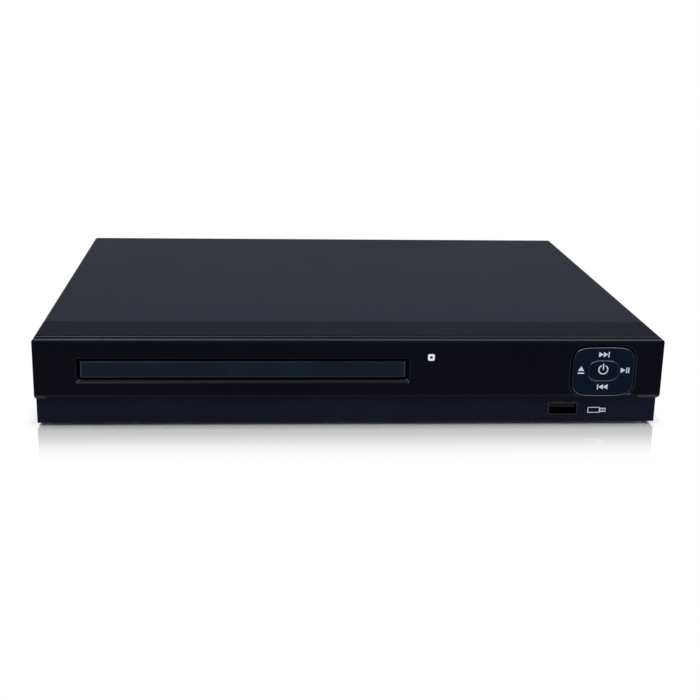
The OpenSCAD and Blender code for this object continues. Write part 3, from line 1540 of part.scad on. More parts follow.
// Pinion on the feed motor's shaft
module feed_pinion() {
    a = atan2(feed_y - feed_motor_y, feed_x - feed_motor_x);
    color("white") at_loader() translate([feed_motor_x, feed_motor_y, 0]) difference() {
        along_z(feed_wheel_z, feed_wheel_z + 1.2) gear_2d(feed_pinion_teeth, feed_module, a);
        bar_z(0, 0, 0.8 + bore_gap, feed_wheel_z - 1, feed_wheel_z + 2);
    }
}

// Wheel and pinion between the feed motor and the pickup's rack
module feed_gear() {
    a = atan2(feed_motor_y - feed_y, feed_motor_x - feed_x) + 180 / feed_wheel_teeth;
    color("white") at_loader() translate([feed_x, feed_y, 0]) difference() {
        union() {
            along_z(feed_wheel_z, feed_wheel_z + 1.2) gear_2d(feed_wheel_teeth, feed_module, a);
            bar_z(0, 0, feed_pinion_r - 1.4, feed_wheel_z, feed_rack_z + 0.1);
            along_z(feed_rack_z, feed_rack_z + feed_rack_t) gear_2d(feed_rack_teeth, feed_module, 180);
        }
        bar_z(0, 0, stud_r + bore_gap, feed_wheel_z - 1, feed_rack_z + 3);
    }
}

// ---- Screws ----

// Screws through the loader's ears into the base
module loader_screws() {
    color("silver") at_loader() for (side = [-1, 1], y = ear_y) {
        translate([side * (ear_out - ear_r), y, frame_low + 1.6]) screw(l = 7);
    }
}

// Screws of the boards and of the bezel's two tabs
module board_screws() {
    color("silver") {
        for (p = concat(main_holes, power_holes)) {
            translate([p[0], p[1], board_top]) screw(l = board_t + 2.6);
        }
        for (side = [-1, 1]) {
            translate([side * bezel_tab_x, wall_y + 8, pan_z + bezel_wall]) screw(l = bezel_wall + pan_t);
        }
        for (p = boss_at) {
            translate([p[0], front_board_y + board_t, p[1]]) rotate([-90, 0, 0])
                screw(l = board_t + 3.5, r = screw_r * 0.7 - 0.02, head = head_r * 0.8, h = head_h);
        }
    }
}

base_pan();
rear_panel();
top_cover();
front_bezel();
front_fascia();
rubber_feet();
cover_screws();
rear_screws();
loader_screws();
board_screws();
ir_window();
front_board();
tact_switches();
ir_receiver();
usb_shell();
usb_tongue();
usb_board();
main_board();
main_chips();
board_capacitors();
hdmi_socket();
scart_socket();
rca_block();
rca_jacks();
mains_inlet();
inlet_pins();
power_board();
transformer();
power_capacitors();
heat_sink();
fuse();
power_harness();
ribbon_cable();
loader_frame();
clamp_bridge();
loading_motor();
motor_pulley();
drive_belt();
pulley_gear();
tray_gear();
cam_slider();
disc_clamp();
clamp_plate();
disc_tray();
tray_door();
traverse_chassis();
spindle_motor();
turntable();
turntable_pad();
guide_rods();
pickup_body();
pickup_lens();
pickup_rack();
feed_motor();
feed_pinion();
feed_gear();
pad_carrier();
rocker_pad();
power_button();
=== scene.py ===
import math

import bmesh
import bpy
from mathutils import Matrix, Vector


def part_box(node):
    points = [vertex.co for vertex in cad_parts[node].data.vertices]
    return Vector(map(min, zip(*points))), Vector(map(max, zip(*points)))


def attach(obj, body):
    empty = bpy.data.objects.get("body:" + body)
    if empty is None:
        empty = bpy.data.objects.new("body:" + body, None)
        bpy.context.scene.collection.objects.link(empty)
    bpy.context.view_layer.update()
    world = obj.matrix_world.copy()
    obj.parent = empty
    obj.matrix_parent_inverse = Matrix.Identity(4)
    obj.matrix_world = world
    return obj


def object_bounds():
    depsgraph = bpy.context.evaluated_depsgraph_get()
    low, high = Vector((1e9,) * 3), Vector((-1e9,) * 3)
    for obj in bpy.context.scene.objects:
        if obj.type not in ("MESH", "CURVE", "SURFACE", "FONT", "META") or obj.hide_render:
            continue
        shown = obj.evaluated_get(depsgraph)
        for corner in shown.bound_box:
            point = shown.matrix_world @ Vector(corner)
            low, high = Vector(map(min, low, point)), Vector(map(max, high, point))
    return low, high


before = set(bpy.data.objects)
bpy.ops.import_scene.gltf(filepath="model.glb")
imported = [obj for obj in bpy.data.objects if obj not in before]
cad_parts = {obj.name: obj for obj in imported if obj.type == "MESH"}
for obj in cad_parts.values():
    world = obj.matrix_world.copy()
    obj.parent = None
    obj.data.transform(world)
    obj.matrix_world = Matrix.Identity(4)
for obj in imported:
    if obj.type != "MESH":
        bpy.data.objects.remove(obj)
cad_box = [list(corner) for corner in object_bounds()]
MM = 0.001
QUARTER = math.pi / 2


# ---- Shader helpers ----

def linear(colour):
    """The linear colour of an sRGB hex value."""
    parts = [int(colour[i:i + 2], 16) / 255 for i in (0, 2, 4)]
    return [c / 12.92 if c <= 0.04045 else ((c + 0.055) / 1.055) ** 2.4 for c in parts] + [1.0]


def add(tree, kind, inputs=None, **settings):
    """Adds one shader node with its settings. Each input gets a value or another node's socket."""
    node = tree.nodes.new("ShaderNode" + kind)
    for name, value in settings.items():
        setattr(node, name, value)
    for name, value in (inputs or {}).items():
        if isinstance(value, bpy.types.NodeSocket):
            tree.links.new(value, node.inputs[name])
        else:
            node.inputs[name].default_value = value
    return node


def start(name, shader_values):
    """A new material: its tree, its place in object coordinates and its shader."""
    material = bpy.data.materials.new(name)
    material.use_nodes = True
    tree = material.node_tree
    tree.nodes.clear()
    shader = add(tree, "BsdfPrincipled", shader_values)
    add(tree, "OutputMaterial", {"Surface": shader.outputs[0]})
    return material, tree, add(tree, "TexCoord").outputs["Object"], shader


def stretched(tree, place, scale):
    """The place with its axes scaled: below 1 draws a pattern out that way, above 1 packs it."""
    return add(tree, "Mapping", {"Vector": place, "Scale": scale}).outputs[0]


def tinted(tree, place, shader, colours, patch, roughness, spread):
    """Colour and roughness that drift between two values over patches of that many millimetres."""
    drift = add(tree, "TexNoise", {"Vector": place, "Scale": 1 / (patch * MM), "Detail": 3.0})
    share = add(tree, "MapRange", {"Value": drift.outputs[0], "From Min": 0.35, "From Max": 0.65})
    colour = add(tree, "Mix", {0: share.outputs[0], 6: linear(colours[0]), 7: linear(colours[1])},
                 data_type="RGBA")
    gloss = add(tree, "MapRange", {"Value": drift.outputs[0], "From Min": 0.3, "From Max": 0.7,
                                   "To Min": roughness - spread, "To Max": roughness + spread})
    tree.links.new(colour.outputs[2], shader.inputs["Base Color"])
    tree.links.new(gloss.outputs[0], shader.inputs["Roughness"])


# The rounded normal and the flat one part on an edge: the cosines where it starts and is full
EDGE_STARTS = 0.997
EDGE_FULL = 0.93
# How far a normal leans up or down before its edge counts as such, and is fully so
LEAN_STARTS = 0.05
LEAN_FULL = 0.4
# How far a normal leans to the front before its edge gets its painted highlight in full
AHEAD_FULL = 0.25


def rimmed(tree, shader, rounded, rim):
    """Gives the rounded edges at the front a specular level of their own: a painted highlight.

    A rim is three levels, for edges that face up, upright ones and those that face down; each is a
    painted highlight, set by which way the edge faces. Edges that lean back into a seam are left
    dull, with no specular, as painted shade."""
    upper, upright, lower = rim
    flat = add(tree, "NewGeometry").outputs["Normal"]
    agree = add(tree, "VectorMath", {0: rounded, 1: flat}, operation="DOT_PRODUCT")
    on_edge = add(tree, "MapRange", {"Value": agree.outputs["Value"], "From Min": EDGE_STARTS,
                                     "From Max": EDGE_FULL}).outputs[0]
    lean = add(tree, "SeparateXYZ", {"Vector": rounded}).outputs
    above = add(tree, "MapRange", {"Value": lean["Z"], "From Min": LEAN_STARTS,
                                   "From Max": LEAN_FULL, "To Min": upright,
                                   "To Max": upper}).outputs[0]
    below = add(tree, "MapRange", {"Value": lean["Z"], "From Min": -LEAN_STARTS,
                                   "From Max": -LEAN_FULL, "To Min": 0.0,
                                   "To Max": lower - upright}).outputs[0]
    ahead = add(tree, "MapRange", {"Value": lean["Y"], "From Min": 0.0,
                                   "From Max": -AHEAD_FULL}).outputs[0]
    levels = add(tree, "Math", {0: above, 1: below}, operation="ADD").outputs[0]
    edge_highlight_level = add(tree, "Math", {0: levels, 1: ahead}, operation="MULTIPLY").outputs[0]
    # The edge's specular level is painted highlight, and painted shade where it falls to nothing on
    # edges leaning back
    level = shader.inputs["Specular IOR Level"]
    rims = add(tree, "Mix", {0: on_edge, 2: level.default_value, 3: edge_highlight_level}, data_type="FLOAT")
    tree.links.new(rims.outputs[0], level)


def grained(tree, place, shader, size, height, edge, rim=None):
    """Relief of grains of that size and height in millimetres, over edges rounded by `edge`."""
    rounded = add(tree, "Bevel", {"Radius": edge * MM}, samples=6).outputs[0]
    if rim is not None:
        rimmed(tree, shader, rounded, rim)
    noise = add(tree, "TexNoise", {"Vector": place, "Scale": 1 / (size * MM), "Detail": 2.0})
    relief = add(tree, "Bump", {"Height": noise.outputs[0], "Distance": height * MM,
                                "Normal": rounded})
    tree.links.new(relief.outputs[0], shader.inputs["Normal"])


def surface(name, colours, roughness, patch=25, spread=0.04, grain=0.5, height=0.008, edge=0.2,
            stretch=(1, 1, 1), rim=None, **values):
    """A finish in one colour range, with a grain of that size and height in millimetres.

    Other values go on the shader's sockets, under the sockets' own names."""
    sockets = {key.replace("_", " ").title().replace("Ior", "IOR"): v for key, v in values.items()}
    material, tree, place, shader = start(name, sockets)
    place = stretched(tree, place, stretch)
    tinted(tree, place, shader, colours, patch, roughness, spread)
    grained(tree, place, shader, grain, height, edge, rim=rim)
    return material


def masked(tree, shader, mask, colour, roughness=None):
    """Lays a second colour, and if given a second roughness, where the mask is 1."""
    under = shader.inputs["Base Color"].links[0].from_socket
    over = add(tree, "Mix", {0: mask, 6: under, 7: linear(colour)}, data_type="RGBA")
    tree.links.new(over.outputs[2], shader.inputs["Base Color"])
    if roughness is not None:
        gloss = shader.inputs["Roughness"].links[0].from_socket
        blend = add(tree, "Mix", {0: mask, 2: gloss, 3: roughness}, data_type="FLOAT")
        tree.links.new(blend.outputs[0], shader.inputs["Roughness"])


def band(tree, value, low, high):
    """1 where a value lies between two limits, else 0."""
    above = add(tree, "Math", {0: value, 1: low}, operation="GREATER_THAN").outputs[0]
    below = add(tree, "Math", {0: value, 1: high}, operation="LESS_THAN").outputs[0]
    return add(tree, "Math", {0: above, 1: below}, operation="MULTIPLY").outputs[0]


def stripes(tree, value, pitch, share):
    """1 on a stripe that takes that share of each pitch (in millimetres), else 0."""
    turns = add(tree, "Math", {0: value, 1: pitch * MM}, operation="DIVIDE").outputs[0]
    part = add(tree, "Math", {0: turns}, operation="FRACT").outputs[0]
    return add(tree, "Math", {0: part, 1: share}, operation="LESS_THAN").outputs[0]


# ---- Finishes ----

# Painted steel sheet: the sprayed satin paint levels out, so it has only a faint orange peel.
cover_paint = surface("satin_paint_on_steel", ("111928", "141c2c"), roughness=0.42, patch=60,
                      spread=0.02, grain=1.6, height=0.006, edge=0.35, specular_ior_level=0.1)

# Fine-grained ABS from an etched mould: even, dark, with a soft highlight.
bezel_plastic = surface("etched_abs_moulding", ("0e111f", "101424"), roughness=0.42, patch=30,
                        spread=0.03, grain=0.35, height=0.012, edge=0.15, specular_ior_level=0.04)


def polished(low, high):
    """Polished ABS: the mould is mirror-finished, so only slow waves disturb the reflection.

    Its edges get rimmed's painted highlight. The front's rounded top edge, within reach of that
    corner of the part's box, is given the upright edges' specular level all over, as a painted
    highlight line."""
    reach = 0.8 * MM
    upright = 0.3
    material, tree, place, shader = start("polished_black_abs", {
        "Specular IOR Level": 0.035, "Specular Tint": linear("d2e0f2")})
    tinted(tree, place, shader, ("08070f", "090811"), patch=45, roughness=0.07, spread=0.02)
    grained(tree, place, shader, size=16, height=0.012, edge=0.5, rim=(0.7, upright, 0.05))
    # Painted highlight: the band along the top front edge takes the upright edges' specular level
    axes = add(tree, "SeparateXYZ", {"Vector": place})
    top = band(tree, axes.outputs["Z"], high.z - reach, high.z + MM)
    front = band(tree, axes.outputs["Y"], low.y - MM, low.y + reach)
    corner = add(tree, "Math", {0: top, 1: front}, operation="MULTIPLY").outputs[0]
    under = shader.inputs["Specular IOR Level"].links[0].from_socket
    level = add(tree, "Mix", {0: corner, 2: under, 3: upright}, data_type="FLOAT").outputs[0]
    tree.links.new(level, shader.inputs["Specular IOR Level"])
    return material


gloss_black = polished(*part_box("front_fascia"))

# The door is moulded in a navy tint with a satin lacquer.
# Its rim levels are painted highlights on the door's edges.
door_plastic = surface("satin_navy_lacquered_abs", ("0a121f", "0d1926"), roughness=0.3, patch=22,
                       spread=0.03, grain=6, height=0.006, edge=0.7, rim=(0.9, 1.1, 0.2),
                       specular_ior_level=0.07)

# The pad and its button are moulded in the same navy tint, a little glossier.
# Its rim levels are painted highlights on the pad's and button's edges.
pad_plastic = surface("navy_lacquered_abs", ("060d1b", "081120"), roughness=0.2, patch=12,
                      spread=0.03, grain=4, height=0.005, edge=0.55, rim=(2.9, 0.45, 1.25),
                      specular_ior_level=0.05, specular_tint=linear("c8d7f2"))

# A milky acrylic light pipe, polished on its face.
window_acrylic = surface("milky_acrylic", ("e2e6ea", "eef1f4"), roughness=0.18, patch=2,
                         spread=0.03, grain=0.9, height=0.004, edge=0.12, ior=1.49)

# Electro-galvanised sheet: grey zinc with faint lines from rolling and a dry passivated film.
zinc_steel = surface("rolled_zinc_plated_steel", ("a6a9ab", "afb2b3"), roughness=0.37, patch=2.2,
                     spread=0.035, grain=0.3, height=0.003, edge=0.2, stretch=(0.06, 1, 1),
                     metallic=1.0)

# Blackened screws: a thin oxide over machined steel, worn to a dull sheen.
black_screw = surface("black_oxide_steel", ("191a1c", "2b2c2e"), roughness=0.4, patch=0.9,
                      spread=0.1, grain=0.25, height=0.006, edge=0.1, metallic=1.0)

# Die-cut foam rubber: closed cells cut open on the skin, so it is rough and dull.
foot_foam = surface("closed_cell_foam", ("121212", "1d1d1d"), roughness=0.85, patch=1.2,
                    spread=0.08, grain=0.5, height=0.09, edge=0.4, specular_ior_level=0.3)

# Nickel-plated pressed shell of a socket.
nickel_shell = surface("nickel_plated_steel", ("b9b6ae", "cfccc4"), roughness=0.22, patch=3,
                       spread=0.06, grain=0.4, height=0.003, edge=0.12, metallic=1.0)

# The memory socket's shell has the same plating in dark nickel.
dark_shell = surface("dark_nickel_plated_steel", ("2e2f33", "3e4045"), roughness=0.3, patch=3,
                     spread=0.06, grain=0.4, height=0.003, edge=0.12, metallic=1.0)

# Glass-filled nylon of the sockets: matt black, a little mottled where fibres lie near the skin.
socket_black = surface("glass_filled_nylon", ("0d0d0e", "19191b"), roughness=0.5, patch=2.5,
                       spread=0.06, grain=0.3, height=0.012, edge=0.15)

# The memory socket's tongue: black nylon, deep in its shell; its low specular level and slightly
# darker colour are painted shade for that depth, so that it hardly shines.
tongue_nylon = surface("dull_black_nylon_with_painted_shade", ("0a0a0c", "111114"), roughness=0.6, patch=2.5,
                       spread=0.05, grain=0.3, height=0.01, edge=0.12, specular_ior_level=0.1)

# The sockets' bright barrels: turned brass with a thin bright plating.
jack_plating = surface("bright_nickel_on_brass", ("c8c2b0", "ded8c8"), roughness=0.16, patch=2,
                       spread=0.04, grain=0.5, height=0.002, edge=0.1, metallic=1.0)

# Grey-black structural ABS of the loader, from an etched mould.
loader_plastic = surface("structural_black_abs", ("16171a", "1f2024"), roughness=0.5, patch=18,
                         spread=0.05, grain=0.5, height=0.02, edge=0.2)

# The tray is the same plastic with a finer skin, because it is seen.
tray_plastic = surface("fine_etched_black_abs", ("1b1c20", "212227"), roughness=0.46, patch=26,
                       spread=0.03, grain=0.32, height=0.014, edge=0.25)

# Natural acetal: slippery, slightly translucent, ivory white.
gear_plastic = surface("natural_acetal", ("cfcabc", "ddd8cb"), roughness=0.34, patch=5, spread=0.05,
                       grain=0.6, height=0.006, edge=0.12, subsurface_weight=0.05,
                       subsurface_scale=0.001)

# Deep-drawn motor cans: bright plated steel with fine lines along the draw.
motor_steel = surface("drawn_plated_steel", ("8f9296", "a8abae"), roughness=0.3, patch=8,
                      spread=0.06, grain=0.4, height=0.004, edge=0.2, stretch=(1, 1, 0.1),
                      metallic=1.0)

# Hard ground guide rods, bright and lightly oiled.
rod_steel = surface("ground_steel", ("b7babd", "c9cbce"), roughness=0.14, patch=6, spread=0.03,
                    grain=0.2, height=0.002, edge=0.05, metallic=1.0)

# Turned brass: the lathe's fine lines, drawn as a close grain.
pulley_brass = surface("turned_brass", ("b08d45", "c6a258"), roughness=0.26, patch=3, spread=0.05,
                       grain=0.25, height=0.004, edge=0.08, stretch=(6, 1, 1), metallic=1.0)

# Ground square-section belt: dull black rubber with a talc bloom.
belt_rubber = surface("ground_rubber", ("141414", "232323"), roughness=0.75, patch=1.5, spread=0.08,
                      grain=0.2, height=0.02, edge=0.15)

# Precision-moulded black polycarbonate of the disc's seat.
turntable_plastic = surface("black_polycarbonate", ("111215", "191a1e"), roughness=0.3, patch=6,
                            spread=0.05, grain=0.5, height=0.004, edge=0.15, ior=1.58)

# Zinc die casting of the laser carriage: cool grey with a cast skin.
pickup_alloy = surface("zinc_die_casting", ("74777b", "8b8e92"), roughness=0.42, patch=4,
                       spread=0.08, grain=0.35, height=0.02, edge=0.2, metallic=1.0)

# Printed marks: silk-screened epoxy ink, slightly raised, matt.
printed_ink = surface("silk_screened_ink", ("b8c6d4", "c4d2e0"), roughness=0.55, patch=0.8,
                      spread=0.06, grain=0.12, height=0.004, edge=0.03)

# Sintered ceramic of the small surface-mounted capacitors: matt, with a pressed grain.
chip_ceramic = surface("sintered_capacitor_ceramic", ("80603f", "97754f"), roughness=0.5, patch=1.1,
                       spread=0.06, grain=0.12, height=0.004, edge=0.06)

# Solder-wetted end caps: tin that froze with a slightly frosted skin.
tin_solder = surface("frosted_tin_solder", ("aeb0b1", "c4c6c6"), roughness=0.32, patch=0.6,
                     spread=0.08, grain=0.14, height=0.005, edge=0.06, metallic=1.0)

# Plated contact springs: phosphor bronze with a thin gold flash.
contact_gold = surface("gold_flashed_bronze", ("c39a4b", "d9b567"), roughness=0.22, patch=1,
                       spread=0.05, grain=0.15, height=0.002, edge=0.04, metallic=1.0)


def board(name, mask, over_copper, plane):
    """Laminate with its tracks, 0.6 mm wide. They run one way or the other in each square field.

    Its colours are those of the bare laminate, then the paler one over copper; the plane is the
    two axes that it lies along."""
    field = 7 * MM
    material, tree, place, shader = start(name, {"Coat Weight": 0.3, "Coat Roughness": 0.15})
    tinted(tree, place, shader, mask, patch=20, roughness=0.34, spread=0.05)
    axes = add(tree, "SeparateXYZ", {"Vector": place})
    fields = add(tree, "VectorMath", {0: place, 1: (field, field, field)}, operation="SNAP")
    turn = add(tree, "TexWhiteNoise", {"Vector": fields.outputs[0]})
    along = add(tree, "Math", {0: turn.outputs["Value"], 1: 0.5}, operation="GREATER_THAN")
    first, second = (stripes(tree, axes.outputs[axis], pitch=1.9, share=0.32) for axis in plane)
    tracks = add(tree, "Mix", {0: along.outputs[0], 2: first, 3: second}, data_type="FLOAT")
    masked(tree, shader, tracks.outputs[0], over_copper)
    rounded = add(tree, "Bevel", {"Radius": 0.1 * MM}, samples=4)
    raised = add(tree, "Bump", {"Height": tracks.outputs[0], "Distance": 0.035 * MM,
                                "Normal": rounded.outputs[0]})
    tree.links.new(raised.outputs[0], shader.inputs["Normal"])
    return material


# Two-sided glass-epoxy board under green solder mask; the copper shows paler through it.
board_green = board("green_masked_glass_epoxy", ("0f3d22", "124628"), "1f6a3c", (0, 1))

# The same laminate standing upright behind the front panel.
board_upright = board("upright_green_masked_glass_epoxy", ("0f3d22", "124628"), "1f6a3c", (0, 2))

# Single-sided phenolic paper board of the power supply: brown, its tracks paler.
board_tan = board("phenolic_paper_laminate", ("8a6436", "96703f"), "a9834c", (0, 1))

# Moulded epoxy packages: matt black from the mould, faintly mottled by the mineral filler.
chip_black = surface("filled_epoxy_package", ("131314", "1e1e1f"), roughness=0.6, patch=0.7,
                     spread=0.08, grain=0.25, height=0.012, edge=0.12)


def sleeved():
    """A capacitor in shrunk vinyl: dark sleeve on the side, bare aluminium on the top.

    A pale stripe down the sleeve, towards +X, marks the minus lead."""
    upward = 0.9
    stripe_starts = 0.86
    material, tree, place, shader = start("vinyl_sleeve_on_aluminium", {"Coat Weight": 0.2})
    tinted(tree, place, shader, ("141a2e", "1a2138"), patch=4, roughness=0.3, spread=0.05)
    facing = add(tree, "SeparateXYZ", {"Vector": add(tree, "TexCoord").outputs["Normal"]})
    top = add(tree, "Math", {0: facing.outputs["Z"], 1: upward}, operation="GREATER_THAN")
    masked(tree, shader, top.outputs[0], "b9bcc0", roughness=0.3)
    tree.links.new(top.outputs[0], shader.inputs["Metallic"])
    stripe = add(tree, "Math", {0: facing.outputs["X"], 1: stripe_starts}, operation="GREATER_THAN")
    masked(tree, shader, stripe.outputs[0], "9aa3b5")
    grained(tree, place, shader, size=0.8, height=0.02, edge=0.3)
    return material


def wound(foot_z):
    """The transformer: grey-black ferrite limbs round a bobbin under yellow polyester tape.

    Its foot is at that height in millimetres, with the bobbin's tape below the limb."""
    limb_starts = foot_z + 6
    material, tree, place, shader = start("ferrite_and_polyester_tape", {})
    tinted(tree, place, shader, ("b58a1e", "c79a2b"), patch=3, roughness=0.35, spread=0.06)
    axes = add(tree, "SeparateXYZ", {"Vector": place})
    height = axes.outputs["Z"]
    laps = stripes(tree, height, pitch=4.0, share=0.08)
    masked(tree, shader, laps, "8e6a12")
    limb = add(tree, "Math", {0: height, 1: limb_starts * MM}, operation="GREATER_THAN")
    masked(tree, shader, limb.outputs[0], "26282b", roughness=0.55)
    grained(tree, place, shader, size=0.5, height=0.02, edge=0.3)
    return material


def leads():
    """Seven stranded leads side by side in red, black, yellow, white and grey vinyl."""
    material, tree, place, shader = start("stranded_leads_in_vinyl", {})
    tinted(tree, place, shader, ("a02323", "b22a2a"), patch=3, roughness=0.38, spread=0.05)
    across = add(tree, "SeparateXYZ", {"Vector": place}).outputs["Y"]
    for step, colour in enumerate(("161616", "c9a227", "d4d2cc", "70747a")):
        shifted = add(tree, "Math", {0: across, 1: (step + 1) * MM}, operation="ADD").outputs[0]
        masked(tree, shader, stripes(tree, shifted, pitch=5.0, share=0.2), colour)
    turns = add(tree, "Math", {0: across, 1: math.pi / MM}, operation="MULTIPLY").outputs[0]
    crown = add(tree, "Math", {0: turns}, operation="SINE").outputs[0]
    round_top = add(tree, "Math", {0: crown}, operation="ABSOLUTE").outputs[0]
    relief = add(tree, "Bump", {"Height": round_top, "Distance": 0.5 * MM})
    tree.links.new(relief.outputs[0], shader.inputs["Normal"])
    return material


def ribbon():
    """Flat cable: white polyester film over flat copper conductors at 1 mm pitch."""
    material, tree, place, shader = start("flat_cable_in_polyester_film", {"Coat Weight": 0.4})
    tinted(tree, place, shader, ("c6c7c3", "d3d4d0"), patch=6, roughness=0.3, spread=0.04)
    across = add(tree, "SeparateXYZ", {"Vector": place}).outputs["Y"]
    conductors = stripes(tree, across, pitch=1.0, share=0.6)
    masked(tree, shader, conductors, "a9a79f")
    relief = add(tree, "Bump", {"Height": conductors, "Distance": 0.05 * MM})
    tree.links.new(relief.outputs[0], shader.inputs["Normal"])
    return material


def fused(low_x, high_x):
    """A glass fuse: a pale glass body between nickel end caps and clips.

    The glass shows from low_x to high_x, and is drawn solid, as nothing shows through it."""
    material, tree, place, shader = start("glass_fuse_in_nickel_clips", {"IOR": 1.5})
    tinted(tree, place, shader, ("aeb7b4", "c2cac7"), patch=4, roughness=0.12, spread=0.03)
    across = add(tree, "SeparateXYZ", {"Vector": place}).outputs["X"]
    glass = band(tree, across, low_x, high_x)
    metal = add(tree, "Math", {0: 1.0, 1: glass}, operation="SUBTRACT").outputs[0]
    masked(tree, shader, metal, "b4b2aa", roughness=0.25)
    tree.links.new(metal, shader.inputs["Metallic"])
    grained(tree, place, shader, size=0.4, height=0.003, edge=0.1)
    return material


def lens():
    """The pickup's moulded lens: acrylic, dark over its housing, with a violet film on it."""
    material, tree, place, shader = start("coated_acrylic_lens", {
        "IOR": 1.49, "Coat Weight": 1.0, "Coat Roughness": 0.02, "Coat Tint": linear("9a7fd6")})
    tinted(tree, place, shader, ("1c2440", "2b3a66"), patch=1.2, roughness=0.05, spread=0.01)
    grained(tree, place, shader, size=1.5, height=0.002, edge=0.15)
    return material


# Extruded aluminium: drawn lines run up the fins, under a thin natural anodised film.
fin_aluminium = surface("extruded_anodised_aluminium", ("9a9da1", "aeb1b5"), roughness=0.34,
                        patch=5, spread=0.06, grain=0.3, height=0.01, edge=0.15,
                        stretch=(1, 1, 0.05), metallic=1.0)

transformer_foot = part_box("transformer")[0].z / MM
fuse_low, fuse_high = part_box("fuse")
CLIP = 3 * MM

# What each CAD node is made of
FINISH_OF = {
    cover_paint: ("top_cover",),
    bezel_plastic: ("front_bezel",),
    gloss_black: ("front_fascia",),
    door_plastic: ("tray_door",),
    pad_plastic: ("rocker_pad", "power_button"),
    window_acrylic: ("ir_window",),
    zinc_steel: ("base_pan", "rear_panel", "clamp_plate"),
    black_screw: ("cover_screws", "rear_screws", "loader_screws", "board_screws"),
    foot_foam: ("rubber_feet", "turntable_pad"),
    nickel_shell: ("hdmi_socket", "inlet_pins"),
    dark_shell: ("usb_shell",),
    socket_black: ("scart_socket", "rca_block", "mains_inlet", "tact_switches", "ir_receiver"),
    tongue_nylon: ("usb_tongue",),
    jack_plating: ("rca_jacks",),
    board_green: ("usb_board", "main_board"),
    board_upright: ("front_board",),
    board_tan: ("power_board",),
    chip_black: ("main_chips",),
    sleeved(): ("board_capacitors", "power_capacitors"),
    wound(transformer_foot): ("transformer",),
    fin_aluminium: ("heat_sink",),
    leads(): ("power_harness",),
    ribbon(): ("ribbon_cable",),
    fused(fuse_low.x + CLIP, fuse_high.x - CLIP): ("fuse",),
    loader_plastic: ("loader_frame", "clamp_bridge", "disc_clamp", "traverse_chassis",
                     "pad_carrier"),
    tray_plastic: ("disc_tray",),
    gear_plastic: ("pulley_gear", "tray_gear", "cam_slider", "pickup_rack", "feed_gear",
                   "feed_pinion"),
    motor_steel: ("loading_motor", "spindle_motor", "feed_motor"),
    pulley_brass: ("motor_pulley",),
    belt_rubber: ("drive_belt",),
    turntable_plastic: ("turntable",),
    rod_steel: ("guide_rods",),
    pickup_alloy: ("pickup_body",),
    lens(): ("pickup_lens",),
}
for made_of, names in FINISH_OF.items():
    for name in names:
        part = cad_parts[name]
        if not part.material_slots:
            part.data.materials.append(made_of)
        for material_slot in part.material_slots:
            material_slot.material = made_of


# ---- Modelling helpers ----

SMOOTH_BELOW = math.radians(30)
MERGE_WITHIN = 0.002 * MM


def deselect():
    """Leaves edit mode, with nothing selected."""
    if bpy.context.object and bpy.context.object.mode == "EDIT":
        bpy.ops.object.mode_set(mode="OBJECT")
    bpy.ops.object.select_all(action="DESELECT")


def choose(piece, faces=None, edges=None):
    """In edit mode, selects the faces or edges for which the test is true, and nothing else."""
    bpy.ops.object.mode_set(mode="EDIT")
    mesh = bmesh.from_edit_mesh(piece.data)
    for part in (mesh.verts, mesh.edges, mesh.faces):
        for element in part:
            element.select = False
    for element in (mesh.faces if faces else mesh.edges):
        if (faces or edges)(element):
            element.select_set(True)
    bmesh.update_edit_mesh(piece.data)


def whole(element):
    """The test for choose that takes every element."""
    return True


def settle(piece, name, material, body):
    """Ends a piece: its place goes into its mesh, normals face out, and it rides on its body."""
    deselect()
    piece.select_set(True)
    bpy.context.view_layer.objects.active = piece
    bpy.ops.object.transform_apply(location=True, rotation=True, scale=True)
    bpy.ops.object.mode_set(mode="EDIT")
    bpy.ops.mesh.select_all(action="SELECT")
    bpy.ops.mesh.remove_doubles(threshold=MERGE_WITHIN)
    bpy.ops.mesh.normals_make_consistent(inside=False)
    bpy.ops.object.mode_set(mode="OBJECT")
    bpy.ops.object.shade_smooth_by_angle(angle=SMOOTH_BELOW)
    piece.name = piece.data.name = name
    piece.data.materials.clear()
    piece.data.materials.append(material)
    deselect()
    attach(piece, body)
    return piece


def joined(parts):
    """One object from several."""
    deselect()
    for part in parts:
        part.select_set(True)
    bpy.context.view_layer.objects.active = parts[0]
    bpy.ops.object.join()
    return parts[0]


def copied(piece, offset):
    """A copy with its own mesh, moved by an offset in millimetres."""
    twin = piece.copy()
    twin.data = piece.data.copy()
    bpy.context.scene.collection.objects.link(twin)
    twin.location = piece.location + Vector(offset) * MM
    return twin


def flat_bar(x, y, z, width, height):
    """A flat rectangle that faces the front, in millimetres."""
    deselect()
    bpy.ops.mesh.primitive_plane_add(size=MM, location=(x * MM, y * MM, z * MM),
                                     rotation=(QUARTER, 0, 0))
    bar = bpy.context.object
    bar.scale = (width, height, 1)
    bpy.ops.object.transform_apply(location=False, rotation=True, scale=True)
    return bar


def flat_triangle(x, y, z, width, height, turn):
    """A flat triangle that faces the front; at turn 0 it points up, and it turns clockwise."""
    deselect()
    bpy.ops.mesh.primitive_circle_add(vertices=3, radius=MM, fill_type="NGON",
                                      location=(x * MM, y * MM, z * MM))
    shape = bpy.context.object
    shape.scale = (width / math.sqrt(3), height / 1.5, 1)
    bpy.ops.object.transform_apply(location=False, rotation=False, scale=True)
    bpy.ops.object.mode_set(mode="EDIT")
    bpy.ops.mesh.select_all(action="SELECT")
    bpy.ops.transform.translate(value=(0, -height / 6 * MM, 0))
    bpy.ops.object.mode_set(mode="OBJECT")
    shape.rotation_euler = (QUARTER, turn, 0)
    bpy.ops.object.transform_apply(location=False, rotation=True, scale=False)
    return shape


INK = 0.02 * MM


